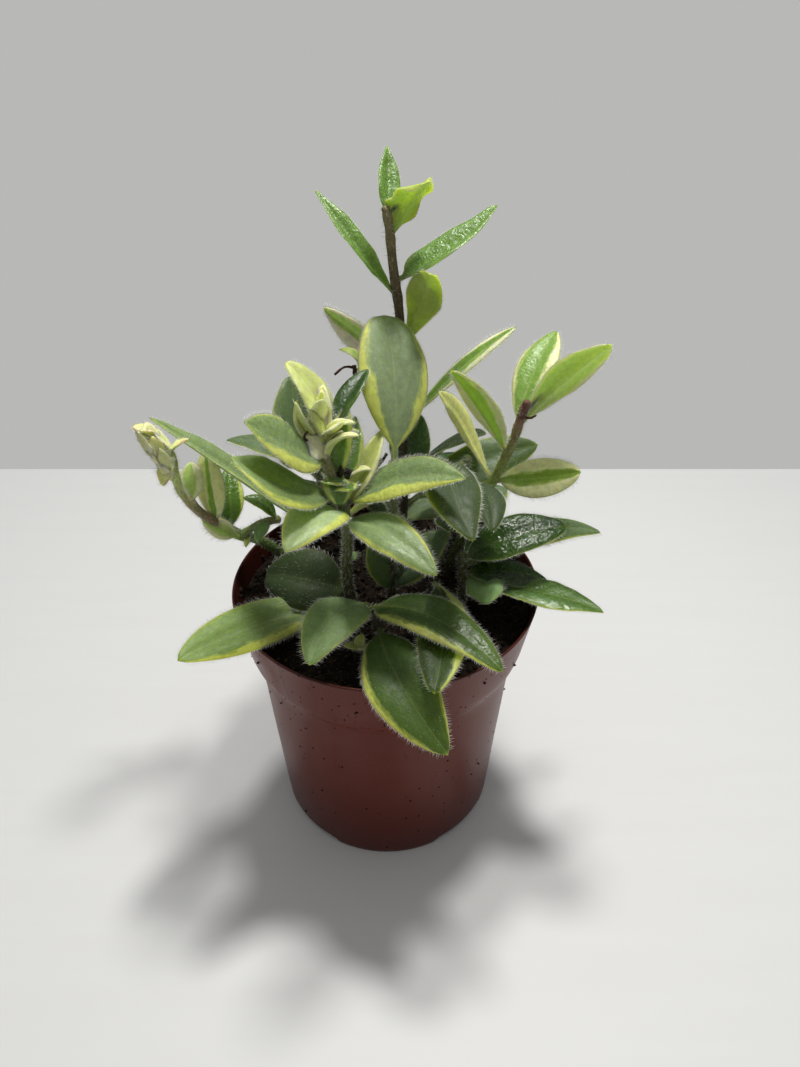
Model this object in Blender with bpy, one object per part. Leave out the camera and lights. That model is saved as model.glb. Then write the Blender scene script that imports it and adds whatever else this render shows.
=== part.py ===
"""A potted lipstick plant: a variegated, hairy-leaved house plant in a small nursery pot.

The origin is on the pot's axis, on the surface that it stands on. +Z is up and -Y is the
front. The values below are millimetres and degrees, and MM turns them into metres.
"""
from collections import namedtuple
from math import cos, pi, radians, sin

import bmesh
import bpy
from mathutils import Vector

MM = 0.001
GAP = 0.3                  # clear space between pieces that touch on the real plant

# The pot: a thin moulded nursery pot, 10.5 cm across its rim
POT_HEIGHT = 99.0
RIM_RADIUS = 52.5
BASE_RADIUS = 40.4
WALL = 1.0
COLLAR_DEPTH = 22.0        # from the rim down to the shoulder
COLLAR_FOOT_RADIUS = 48.6  # outside of the collar, just above the shoulder
SHOULDER_DROP = 2.5        # height that the soft shoulder takes
BODY_TOP_RADIUS = 45.8     # outside of the body, just below the shoulder
FLOOR_UNDERSIDE = 3.0      # the floor is raised on a foot ring
FLOOR_THICKNESS = 1.2
FOOT_RING_WIDTH = 4.0
NOTCH_COUNT = 4            # shallow arches in the foot ring, for air and water
NOTCH_HEIGHT = 1.6
NOTCH_ANGLE = 33.0
NOTCH_START = 45.0
DRAIN_COUNT = 6
DRAIN_RADIUS = 3.5
DRAIN_CIRCLE = 27.0
DRAIN_SIDES = 12
POT_SIDES = 64

# The soil: dark peat, a little below the rim
SOIL_TOP = 91.0
SOIL_BUMP = 0.8
HOLE_ABOVE_SOIL = 8.0      # how far the cutters of the stem holes stand out
SOIL_RINGS = 4

# The stems and leaves
STEM_SIDES = 8
STEM_STEPS = 3             # rings to each span of a stem's route
LEAF_STALK = 0.10          # share of a leaf's length that is stalk
STALK_HALF_WIDTH = 0.9
ROUND_FOOT = 0.68          # how full a blade is just past its stalk; lower is fuller
LEAF_HALF_MIDDLE = 0.65    # half the thickness at the midrib
LEAF_HALF_EDGE = 0.38      # half the thickness at the margin
LONG_LEAF = 20.0           # leaves longer than this get more stations
LONG_LEAF_STATIONS = 7
SHORT_LEAF_STATIONS = 5

# Each leaf: the height on the stem where it grows, the direction that it points to (azimuth,
# 0 to the right, 90 to the back), its rise above level, its length and width, how far its
# middle arches up, the roll of its blade, the fold of its two halves and its sideways bend.
# Lengths are in whole or half millimetres and angles in whole degrees. Two last numbers, where
# given, move the widest place (lower is nearer the foot) and blunt the tip (lower is blunter).
Leaf = namedtuple("Leaf", "height azimuth rise length width arch roll fold bend lean point",
                  defaults=(0.92, 0.8))

# Each branch: the points that its stem passes through, its radius at both ends, its leaves.
Branch = namedtuple("Branch", "route foot_radius tip_radius leaves")

SHOOTS = {
    "tall_shoot": [Branch(
        [(6, 12, 80), (6, 12, 93), (6, 15, 122), (6, 18, 151), (5, 20, 183), (3, 19, 200),
         (2, 18, 211), (1, 17, 217)], 1.7, 1.2, [
            Leaf(214, 91, 51, 21, 8.5, -0.5, 31, 30, 0, 0.75, 0.8),
            Leaf(208, -30, 55, 20, 15, 4, -19, 15, -3.5, 0.9, 0.85),
            Leaf(191, 157, 47, 38, 9.5, 1, -10, 35, -3, 1, 0.85),
            Leaf(196, 20, 30, 37, 14.5, -1.5, 4, 30, 3, 0.6, 0.55),
            Leaf(173, -57, 61, 33, 12, 5.5, -61, 10, 1.5, 1.35, 1),
            Leaf(169, 146, 23, 33, 11.5, 1.5, -89, 20, 0.5, 0.75, 0.7),
            Leaf(148, 12, 41, 48, 6.5, 1.5, 21, 15, -1, 1.35, 0.65),
            Leaf(131, 36, 70, 22, 14.5, 2, 30, 10, 0),
            Leaf(126, 2, 37, 34, 16, 3, -20, 10, -6, 1.35, 0.75),
            Leaf(119, 12, 22, 51, 15.5, 3, 39, 8, -2, 1.25, 0.7),
            Leaf(122, 48, 6, 34, 14, 3.5, 0, 8, 0),
        ])],
    "middle_shoot": [Branch(
        [(2, -4, 80), (2, -4, 93), (3, -8, 121), (3, -13, 153)], 1.7, 1.3, [
            Leaf(153, 95, 48, 45, 21.5, 4, 15, 5, 0.5, 1.15, 0.4),
            Leaf(97, 90, 78, 31, 19, 4.5, 10, 10, 0),
            Leaf(100, 5, 49, 29, 13, 3.5, 45, 10, 0),
        ])],
    "front_shoot": [
        Branch(
            [(-11, -10, 80), (-11, -10, 93), (-12, -14, 112), (-11, -18, 134), (-13, -20, 148),
             (-16, -20, 158), (-18, -18, 165)], 1.9, 1.3, [
                Leaf(159, 140, 62, 28, 13.5, 3.5, 16, 15, 1.5, 1.05, 0.65),
                Leaf(164, 75, 65, 15, 7, 0, 0, 20, 0),
                Leaf(164, -60, 75, 14, 7, 0.5, 0, 20, 0),
                Leaf(165, -150, 63, 13, 5, -1.5, 0, 20, 0),
                Leaf(165, -35, 35, 12, 5, -1, 0, 20, 0),
                Leaf(161, 53, 38, 27, 9, 2.5, -8, 25, 2, 1.35, 0.85),
                Leaf(157, 222, 41, 33, 19, -0.5, -30, 10, -0.5, 1, 1),
                Leaf(147, 219, 36, 40, 17.5, -1, -24, 10, -4, 1.35, 0.9),
                Leaf(152, 152, 4, 38, 13.5, 3.5, 5, 10, 0),
                Leaf(135, -115, 19, 35, 15.5, 7, -6, 5, 0.5, 1.05, 0.75),
                Leaf(135, -48, 4, 39, 12.5, 6.5, 17, 5, -0.5, 0.95, 0.7),
                Leaf(141, -23, 27, 42, 15, 2, 22, 10, -4, 0.85, 0.9),
                Leaf(148, -60, 27, 11, 8, 0.5, 0, 10, 0),
                Leaf(148, -110, 40, 11, 7, 0.5, 0, 10, 0),
                Leaf(148, 68, 53, 22, 8, 2, 51, 20, 0),
                Leaf(156, -31, 49, 17, 5, 3.5, 0, 20, 0),
                Leaf(141, 43, 52, 26, 8, 1.5, 25, 30, 1),
                Leaf(98, -144, 7, 61, 17.5, -2, -18, 10, 4, 1.05, 0.65),
                Leaf(103, 164, 1, 30, 20.5, 6, -41, 5, 0.5, 0.75, 0.55),
            ]),
        Branch(
            [(-12, -13, 97), (-19, -13, 99), (-25, -12, 100)], 1.0, 0.8, [
                Leaf(99.9, 175, 10, 6, 3.5, 0.5, 0, 15, 0),
                Leaf(99.9, 120, 50, 5, 3.5, 0.5, 0, 15, 0),
                Leaf(99.5, 20, 60, 6, 4, 0.5, 0, 15, 0),
            ]),
    ],
    "front_low_shoot": [Branch(
        [(1, -26, 80), (1, -26, 93), (-6, -19, 103)], 1.7, 1.4, [
            Leaf(103, -114, 10, 37, 17.5, 5.5, -3, 5, 2, 0.75, 0.65),
            Leaf(102, -40, 6, 52, 17, 8, 3, 8, -1, 0.75, 0.65),
            Leaf(97, -65, -11, 48, 20.5, 12, 17, 5, 3, 1, 0.7),
        ])],
    "left_shoot": [Branch(
        [(-28, 4, 80), (-28, 4, 93), (-28, 5, 110), (-26, 5, 127)], 1.7, 1.2, [
            Leaf(119, 176, 39, 60, 12, 0, 5, 35, 0),
        ])],
    "right_low_shoot": [Branch(
        [(26, -6, 80), (26, -6, 93), (26, -8, 105), (25, -8, 116)], 1.7, 1.3, [
            Leaf(113, 4, 20, 35, 15, 5, 22, 10, 0, 0.9, 0.5),
            Leaf(110, 20, 2, 52, 11.5, 7.5, 17, 10, -1.5, 0.8, 0.75),
            Leaf(108, 4, -9, 29, 14.5, 2.5, 3, 10, 1, 0.8, 0.9),
            Leaf(101, -23, 6, 47, 16.5, 3.5, -8, 8, 0.5, 1.3, 1),
            Leaf(106, -71, 10, 19, 12, -0.5, 13, 10, -3.5, 0.95, 0.75),
            Leaf(110, 50, -4, 34, 15, 4, 0, 8, 0),
        ])],
    "right_back_shoot": [Branch(
        [(16, 0, 80), (16, 0, 93), (20, 1, 115), (24, 1, 135), (26, 1, 147)], 1.7, 1.3, [
            Leaf(144, -91, 1, 42, 16, 5.5, -3, 5, 5.5, 1.1, 0.8),
            Leaf(136, -75, 4, 29, 12, 5.5, -16, 5, -1.5, 0.9, 0.7),
            Leaf(125, -95, 16, 17, 9.5, 1.5, 17, 10, 0),
            Leaf(97.5, -92, 8, 61, 16, 4.5, 6, 14, -3.5, 1.35, 0.65),
        ])],
    "right_tall_shoot": [Branch(
        [(22, 12, 80), (22, 12, 93), (29, 11, 116), (35, 10, 131), (39, 8, 143), (41, 7, 150),
         (43, 6, 162)], 1.8, 1.3, [
            Leaf(153, 60, 40, 36, 13.5, 4.5, -10, 10, 0.5, 1.05, 0.8),
            Leaf(154, -10, 50, 38, 16, 3.5, -59, 10, -2, 1.2, 0.8),
            Leaf(144, 190, 57, 36, 12.5, 0, 43, 20, -1, 1.1, 0.7),
            Leaf(132, 188, 61, 39, 10.5, -1.5, -32, 20, 3.5, 1.35, 0.8),
            Leaf(133, -25, 20, 30, 13, -2, 56, 10, 0.5, 0.95, 0.55),
            Leaf(112, 60, 0, 32, 14, 4, 0, 8, 0),
        ])],
    "trailing_shoot": [
        Branch(
            [(-34, 16, 80), (-34, 16, 93), (-39, 14, 101), (-45, 10, 109), (-50, 8, 112),
             (-60, 4, 123), (-63, 2, 129), (-65, 0, 135), (-65, -2, 142), (-65, -4, 151),
             (-68, -6, 155), (-70, -6, 158)], 1.9, 1.2, [
                Leaf(119, 104, 70, 26, 12, 1.5, -35, 10, 1),
                Leaf(115, 94, 51, 22, 9.5, 2, 20, 10, 0),
                Leaf(129, 95, 44, 14, 10, 1, -18, 10, 0.5),
                Leaf(113, 179, 32, 14, 6, 1, -8, 10, 0),
                Leaf(157, 170, 35, 6, 6, 1, 0, 20, 0),
                Leaf(157, -100, 50, 6, 5, 0.5, 0, 20, 0),
                Leaf(150, 195, 60, 12, 7, 1, 0, 25, 0),
                Leaf(147, 160, 55, 15, 4.5, 1, 0, 30, 0),
                Leaf(151, 5, 35, 8, 4, 0.5, 0, 20, 0),
                Leaf(149, -115, -50, 9, 6, 0.5, 0, 20, 0),
            ]),
        Branch(
            [(-50, 8, 112), (-43, 9, 116), (-36, 9, 118)], 1.3, 1.1, [
                Leaf(117.5, 175, 40, 13, 8, 3, 0, 10, 0),
                Leaf(117, -115, -25, 9, 5, 1, 0, 10, 0),
            ]),
    ],
    "back_shoot": [Branch(
        [(-13, 20, 80), (-13, 20, 93), (-20, 18, 120), (-25, 15, 140)], 1.7, 1.2, [
            Leaf(136, 136, 74, 30, 21, 4, -11, 8, -3.5, 0.6, 0.6),
            Leaf(112, 145, 5, 30, 16, 3.5, 0, 8, 0),
            Leaf(124, 98, 0, 34, 15, 4, 0, 8, 0),
        ])],
    "back_low_shoot": [Branch(
        [(4, 25, 80), (4, 25, 93), (4, 26, 104), (4, 27, 112)], 1.7, 1.2, [
            Leaf(110, 78, -6, 41, 16, 5.5, 0, 8, 0),
            Leaf(110, 140, -2, 34, 15, 5, 0, 8, 0),
            Leaf(104, 20, 0, 36, 16, 4.5, 0, 8, 0),
            Leaf(102, 110, -5, 34, 15, 4, 0, 8, 0),
            Leaf(112, 110, 60, 16, 8, 1, 0, 10, 0),
            Leaf(112, -120, 60, 14, 8, 1, 0, 10, 0),
        ])],
    "sprout": [Branch(
        [(-9, -30, 80), (-9, -30, 93), (-8, -30, 95)], 0.8, 0.7, [
            Leaf(94.6, 190, 25, 5, 3.5, 0.5, 0, 10, 0),
            Leaf(94.8, 60, 50, 5, 4, 0.5, 0, 10, 0),
            Leaf(94.8, -30, 20, 5, 3.5, 0.5, 0, 10, 0),
        ])],
}


# Scene, materials and meshes
def clear_scene():
    for item in list(bpy.data.objects):
        bpy.data.objects.remove(item, do_unlink=True)


def make_material(name, colour, roughness):
    material = bpy.data.materials.new(name)
    material.use_nodes = True
    shader = material.node_tree.nodes["Principled BSDF"]
    shader.inputs["Base Color"].default_value = (*colour, 1.0)
    shader.inputs["Roughness"].default_value = roughness
    shader.inputs["Metallic"].default_value = 0.0
    return material


def make_object(name, points, faces):
    """Turn points in millimetres and their faces into an object in metres."""
    mesh = bpy.data.meshes.new(name)
    mesh.from_pydata([Vector(p) * MM for p in points], [], faces)
    piece = bpy.data.objects.new(name, mesh)
    bpy.context.scene.collection.objects.link(piece)
    return piece


def finish(piece, material, crease):
    """Give the piece its material and shade it smooth up to the crease angle."""
    piece.data.materials.clear()
    piece.data.materials.append(material)
    piece.data.shade_smooth()
    piece.data.set_sharp_from_angle(angle=radians(crease))


def combine(piece, others, operation):
    """Join the others to the piece, or cut them out of it, and remove them."""
    group = bpy.data.collections.new(piece.name + "_others")
    bpy.context.scene.collection.children.link(group)
    for other in others:
        bpy.context.scene.collection.objects.unlink(other)
        group.objects.link(other)
    boolean = piece.modifiers.new("combine", "BOOLEAN")
    boolean.operation = operation
    boolean.operand_type = "COLLECTION"
    boolean.collection = group
    boolean.solver = "EXACT"
    depsgraph = bpy.context.evaluated_depsgraph_get()
    piece.data = bpy.data.meshes.new_from_object(piece.evaluated_get(depsgraph))
    piece.modifiers.remove(boolean)
    for other in others:
        bpy.data.objects.remove(other, do_unlink=True)
    bpy.data.collections.remove(group)


def keep_largest_body(piece):
    """Drop loose scraps and fill sealed hollows: only the biggest shell stays."""
    bm = bmesh.new()
    bm.from_mesh(piece.data)
    waiting = set(bm.verts)
    shells = []
    while waiting:
        shell = set()
        front = [waiting.pop()]
        while front:
            vert = front.pop()
            shell.add(vert)
            near = {edge.other_vert(vert) for edge in vert.link_edges} & waiting
            waiting -= near
            front.extend(near)
        shells.append(shell)
    largest = max(shells, key=len)
    spare = [vert for vert in bm.verts if vert not in largest]
    bmesh.ops.delete(bm, geom=spare, context="VERTS")
    bm.to_mesh(piece.data)
    bm.free()


def turned(name, profile, sides):
    """Turn a profile of (radius, height) points, from axis to axis, round the Z axis."""
    points = []
    rings = []
    for radius, height in profile:
        count = 1 if radius == 0 else sides
        rings.append([len(points) + k for k in range(count)])
        for k in range(count):
            angle = 2 * pi * k / sides
            points.append((radius * cos(angle), radius * sin(angle), height))
    faces = []
    for lower, upper in zip(rings, rings[1:]):
        for k in range(sides):
            ring_face = [lower[k % len(lower)], lower[(k + 1) % len(lower)],
                         upper[(k + 1) % len(upper)], upper[k % len(upper)]]
            faces.append(list(dict.fromkeys(ring_face)))
    return make_object(name, points, faces)


def prism(name, outline, bottom, top):
    """Stand a prism on an outline that runs anticlockwise seen from above."""
    count = len(outline)
    points = [(x, y, bottom) for x, y in outline] + [(x, y, top) for x, y in outline]
    faces = [list(range(count))[::-1], list(range(count, 2 * count))]
    for k in range(count):
        after = (k + 1) % count
        faces.append([k, after, count + after, count + k])
    return make_object(name, points, faces)


def circle(x, y, radius, sides):
    angles = [2 * pi * k / sides for k in range(sides)]
    return [(x + radius * cos(a), y + radius * sin(a)) for a in angles]


# The pot and its soil
def body_radius(height):
    """Outside radius of the pot's plain body at a height."""
    share = height / (POT_HEIGHT - COLLAR_DEPTH - SHOULDER_DROP)
    return BASE_RADIUS + (BODY_TOP_RADIUS - BASE_RADIUS) * share


def wall_profile(inset):
    """The pot's side from the floor up to the rim, moved inwards by the inset."""
    shoulder_top = POT_HEIGHT - COLLAR_DEPTH
    shoulder_foot = shoulder_top - SHOULDER_DROP
    step = COLLAR_FOOT_RADIUS - BODY_TOP_RADIUS
    rounding = [(0.0, 0.0), (0.30, 0.45), (0.80, 0.70), (1.0, 1.0)]
    side = [(BODY_TOP_RADIUS + step * across, shoulder_foot + SHOULDER_DROP * up)
            for across, up in rounding]
    side.append((RIM_RADIUS, POT_HEIGHT))
    return [(radius - inset, height) for radius, height in side]


def foot_notches():
    notches = []
    inner = BASE_RADIUS - 2 * FOOT_RING_WIDTH
    outer = BASE_RADIUS + 2 * FOOT_RING_WIDTH
    for k in range(NOTCH_COUNT):
        middle = radians(NOTCH_START + 360 * k / NOTCH_COUNT)
        spread = radians(NOTCH_ANGLE / 2)
        corners = [(inner, -spread), (outer, -spread), (outer, 0), (outer, spread),
                   (inner, spread)]
        outline = [(r * cos(middle + turn), r * sin(middle + turn)) for r, turn in corners]
        notches.append(prism("notch", outline, -NOTCH_HEIGHT, NOTCH_HEIGHT))
    return notches


def drain_holes():
    holes = []
    for k in range(DRAIN_COUNT):
        angle = 2 * pi * k / DRAIN_COUNT
        x = DRAIN_CIRCLE * cos(angle)
        y = DRAIN_CIRCLE * sin(angle)
        outline = circle(x, y, DRAIN_RADIUS, DRAIN_SIDES)
        holes.append(prism("drain", outline, 0.0, FLOOR_UNDERSIDE + 2 * FLOOR_THICKNESS))
    return holes


def build_pot():
    floor_top = FLOOR_UNDERSIDE + FLOOR_THICKNESS
    ring_inside = BASE_RADIUS - FOOT_RING_WIDTH
    profile = [(0, FLOOR_UNDERSIDE), (ring_inside, FLOOR_UNDERSIDE), (ring_inside, 0),
               (BASE_RADIUS, 0)]
    profile += wall_profile(0)
    profile += wall_profile(WALL)[::-1]
    profile += [(body_radius(floor_top) - WALL, floor_top), (0, floor_top)]
    pot = turned("pot", profile, POT_SIDES)
    combine(pot, foot_notches() + drain_holes(), "DIFFERENCE")
    finish(pot, make_material("pot_plastic", (0.17, 0.045, 0.035), 0.45), 35)


def soil_height(x, y):
    """A gently uneven surface, low enough for the stems' straight feet."""
    waves = sin(0.21 * x + 0.4) * cos(0.17 * y) + 0.6 * sin(0.35 * y - 0.15 * x + 1.0)
    return SOIL_TOP + SOIL_BUMP * waves


def build_soil():
    floor = FLOOR_UNDERSIDE + FLOOR_THICKNESS + GAP
    inset = WALL + GAP
    side = [(radius, height + GAP) for radius, height in wall_profile(inset)]
    rim_radius, rim_height = side.pop()
    last_radius, last_height = side[-1]
    slope = (rim_radius - last_radius) / (rim_height - last_height)
    edge_radius = last_radius + slope * (SOIL_TOP - last_height)
    profile = [(0, floor), (body_radius(floor) - inset, floor)] + side
    profile += [(edge_radius * k / SOIL_RINGS, SOIL_TOP) for k in range(SOIL_RINGS, -1, -1)]
    soil = turned("soil", profile, POT_SIDES)
    for vertex in soil.data.vertices:
        x, y, z = vertex.co / MM
        inside = Vector((x, y)).length < edge_radius - GAP
        if inside and z > SOIL_TOP - GAP:
            vertex.co.z = soil_height(x, y) * MM
    holes = []
    for branches in SHOOTS.values():
        x, y, foot = branches[0].route[0]
        radius = branches[0].foot_radius + GAP
        outline = circle(x, y, radius, STEM_SIDES)
        holes.append(prism("hole", outline, foot - GAP, SOIL_TOP + HOLE_ABOVE_SOIL))
    combine(soil, holes, "DIFFERENCE")
    finish(soil, make_material("peat", (0.018, 0.011, 0.008), 0.95), 30)


# The stems and leaves
def smooth_route(points):
    """A smooth curve through the points; its first span stays straight, as in the soil."""
    knots = [Vector(p) for p in points]
    knots = [2 * knots[0] - knots[1]] + knots + [2 * knots[-1] - knots[-2]]
    route = [knots[1]]
    for i in range(1, len(knots) - 2):
        before, start, end, after = knots[i - 1:i + 3]
        for k in range(1, STEM_STEPS + 1):
            t = k / STEM_STEPS
            if i == 1:
                route.append(start.lerp(end, t))
                continue
            route.append(0.5 * (2 * start + (end - before) * t
                                + (2 * before - 5 * start + 4 * end - after) * t ** 2
                                + (3 * start - before - 3 * end + after) * t ** 3))
    return route


def point_at(route, height):
    for lower, upper in zip(route, route[1:]):
        if lower.z <= height <= upper.z:
            return lower.lerp(upper, (height - lower.z) / (upper.z - lower.z))
    return route[-1]


def stem_solid(route, foot_radius, tip_radius):
    """A round tube along the route, thinner towards its tip."""
    points = []
    side = Vector((1, 0, 0))
    last = len(route) - 1
    for i, centre in enumerate(route):
        ahead = (route[min(i + 1, last)] - route[max(i - 1, 0)]).normalized()
        if i <= STEM_STEPS:
            ahead = (route[1] - route[0]).normalized()
        side = (side - ahead * side.dot(ahead)).normalized()
        other = ahead.cross(side)
        radius = foot_radius + (tip_radius - foot_radius) * i / last
        for k in range(STEM_SIDES):
            angle = 2 * pi * k / STEM_SIDES
            points.append(centre + (side * cos(angle) + other * sin(angle)) * radius)
    faces = [list(range(STEM_SIDES))[::-1]]
    for i in range(last):
        for k in range(STEM_SIDES):
            a = i * STEM_SIDES + k
            b = i * STEM_SIDES + (k + 1) % STEM_SIDES
            faces.append([a, b, b + STEM_SIDES, a + STEM_SIDES])
    faces.append([last * STEM_SIDES + k for k in range(STEM_SIDES)])
    return make_object("stem", points, faces)


def half_width(share, leaf):
    """Half the leaf's width at a share of its length: a stalk, then a pointed oval."""
    if share <= LEAF_STALK:
        return STALK_HALF_WIDTH
    along = (share - LEAF_STALK) / (1 - LEAF_STALK)
    power = ROUND_FOOT + (leaf.point - ROUND_FOOT) * along
    oval = 0.5 * leaf.width * max(sin(pi * along ** leaf.lean), 0) ** power
    return max(STALK_HALF_WIDTH * (1 - along), oval)


def leaf_frame(leaf):
    """Unit vectors along the leaf, out of its upper face and to its right."""
    azimuth, rise, roll = radians(leaf.azimuth), radians(leaf.rise), radians(leaf.roll)
    along = Vector((cos(rise) * cos(azimuth), cos(rise) * sin(azimuth), sin(rise)))
    up = Vector((-sin(rise) * cos(azimuth), -sin(rise) * sin(azimuth), cos(rise)))
    right = along.cross(up)
    return along, up * cos(roll) + right * sin(roll), right * cos(roll) - up * sin(roll)


def leaf_solid(leaf, stem_point):
    """A thin blade on an arched midrib, thickest there, with both halves folded up."""
    along, up, right = leaf_frame(leaf)
    base = stem_point - along * STALK_HALF_WIDTH
    tip = stem_point + along * leaf.length
    control = (base + tip) / 2 + up * 2 * leaf.arch + right * 2 * leaf.bend
    fold = radians(leaf.fold)
    stations = LONG_LEAF_STATIONS if leaf.length > LONG_LEAF else SHORT_LEAF_STATIONS
    points = []
    for i in range(stations):
        t = i / stations
        middle = (1 - t) ** 2 * base + 2 * t * (1 - t) * control + t ** 2 * tip
        ahead = ((1 - t) * (control - base) + t * (tip - control)).normalized()
        normal = (up - ahead * up.dot(ahead)).normalized()
        across = ahead.cross(normal)
        width = half_width(t, leaf)
        for side in (-1, 0, 1):
            place = middle + (across * side * cos(fold) + normal * abs(side) * sin(fold)) * width
            half = LEAF_HALF_EDGE if side else LEAF_HALF_MIDDLE
            points.append(place + normal * half)
            points.append(place - normal * half)
    points.append(tip + up * LEAF_HALF_EDGE)
    points.append(tip - up * LEAF_HALF_EDGE)
    return make_object("leaf", points, leaf_faces(stations))


def leaf_faces(stations):
    """Triangles of a blade; the upper and the lower face are split the same way."""
    faces = [[0, 2, 3, 1], [2, 4, 5, 3]]
    for i in range(stations - 1):
        a = 6 * i
        b = a + 6
        for column in (0, 2):
            faces.append([a + column, b + column, b + column + 2])
            faces.append([a + column, b + column + 2, a + column + 2])
            faces.append([a + column + 1, b + column + 3, b + column + 1])
            faces.append([a + column + 1, a + column + 3, b + column + 3])
        faces.append([a, a + 1, b + 1, b])
        faces.append([a + 4, b + 4, b + 5, a + 5])
    a = 6 * (stations - 1)
    top = 6 * stations
    for column in (0, 2):
        faces.append([a + column, top, a + column + 2])
        faces.append([a + column + 1, a + column + 3, top + 1])
    faces.append([a, a + 1, top + 1, top])
    faces.append([a + 4, top, top + 1, a + 5])
    return faces


def build_shoot(name, branches, material):
    """One leafy stem: its stems and leaves grow together into one solid."""
    pieces = []
    for branch in branches:
        route = smooth_route(branch.route)
        pieces.append(stem_solid(route, branch.foot_radius, branch.tip_radius))
        pieces += [leaf_solid(leaf, point_at(route, leaf.height)) for leaf in branch.leaves]
    shoot = pieces.pop(0)
    shoot.name = name
    combine(shoot, pieces, "UNION")
    keep_largest_body(shoot)
    shoot.data.name = name
    finish(shoot, material, 40)


def main():
    clear_scene()
    build_pot()
    build_soil()
    foliage = make_material("foliage", (0.07, 0.16, 0.05), 0.5)
    for name, branches in SHOOTS.items():
        build_shoot(name, branches, foliage)


main()
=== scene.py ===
# %% [markdown]
# # A potted lipstick plant
# A small house plant with thick, hairy, variegated leaves stands in a thin plastic pot.
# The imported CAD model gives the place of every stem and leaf. This lesson dresses it:
# each plain solid is replaced by a finer piece of the same form, with real leaf margins,
# veins, hairs and colour. All lengths in the tables are millimetres, and angles are degrees.

from collections import namedtuple
from math import cos, exp, hypot, pi, radians, sin, sqrt
from random import Random

import bpy
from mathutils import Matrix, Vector, noise


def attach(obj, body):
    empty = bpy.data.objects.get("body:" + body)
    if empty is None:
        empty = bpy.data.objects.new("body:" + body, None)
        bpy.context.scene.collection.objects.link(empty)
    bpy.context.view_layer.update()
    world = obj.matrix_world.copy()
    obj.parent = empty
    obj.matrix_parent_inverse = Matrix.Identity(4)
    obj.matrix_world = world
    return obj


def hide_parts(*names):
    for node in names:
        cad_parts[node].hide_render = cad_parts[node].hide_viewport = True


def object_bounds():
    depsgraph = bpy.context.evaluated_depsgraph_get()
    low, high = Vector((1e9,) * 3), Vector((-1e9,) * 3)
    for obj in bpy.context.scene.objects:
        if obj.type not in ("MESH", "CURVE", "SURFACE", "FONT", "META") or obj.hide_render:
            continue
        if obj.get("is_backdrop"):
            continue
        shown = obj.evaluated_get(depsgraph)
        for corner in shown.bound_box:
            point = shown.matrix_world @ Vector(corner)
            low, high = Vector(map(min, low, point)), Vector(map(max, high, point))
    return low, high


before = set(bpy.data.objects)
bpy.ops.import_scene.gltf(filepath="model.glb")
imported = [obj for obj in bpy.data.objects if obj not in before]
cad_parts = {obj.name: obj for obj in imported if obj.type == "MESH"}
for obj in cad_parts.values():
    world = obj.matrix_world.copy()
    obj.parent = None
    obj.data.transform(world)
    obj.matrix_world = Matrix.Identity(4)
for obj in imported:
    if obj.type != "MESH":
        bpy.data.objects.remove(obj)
cad_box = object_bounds()
MM = 0.001
print("nodes to dress:", len(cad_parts), "box", [list(corner) for corner in cad_box])

# %% [markdown]
# ## The camera
# The picture was taken by hand with a wide phone lens, a little over a quarter of a metre
# away and looking down by 35 degrees. A wide lens close by makes the near leaves large and
# the pot's foot small, so the distance matters as much as the angle.

# %% Set up the camera
CAMERA_PLACE = (0.005, -0.216, 0.2718)
CAMERA_TILT = 54.6        # degrees from looking straight down
FOCAL_PIXELS = 800        # measured on the picture, 1067 pixels high
PICTURE_HEIGHT = 1067
SENSOR = 36.0
scene = bpy.context.scene


def put_in_scene(name, data, place=(0, 0, 0)):
    """An object for a mesh, lamp or camera, linked to the scene."""
    made = bpy.data.objects.new(name, data)
    made.location = place
    scene.collection.objects.link(made)
    return made


lens = bpy.data.cameras.new("camera")
lens.sensor_width = SENSOR
lens.lens = FOCAL_PIXELS / PICTURE_HEIGHT * SENSOR
lens.clip_start = 0.01
camera = put_in_scene("camera", lens, CAMERA_PLACE)
camera.rotation_euler = (radians(CAMERA_TILT), 0, 0)
scene.camera = camera
scene.view_settings.view_transform = "Standard"
print("lens", round(lens.lens, 2), "mm")

# %% [markdown]
# ## Reckoning with nodes
# A procedural material is a small graph. A value here is the output of one node, and a sum
# or a call with it adds the next node. So each material below reads from top to bottom like
# a recipe, and a number or colour that is the same all over goes straight to its socket.

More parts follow.
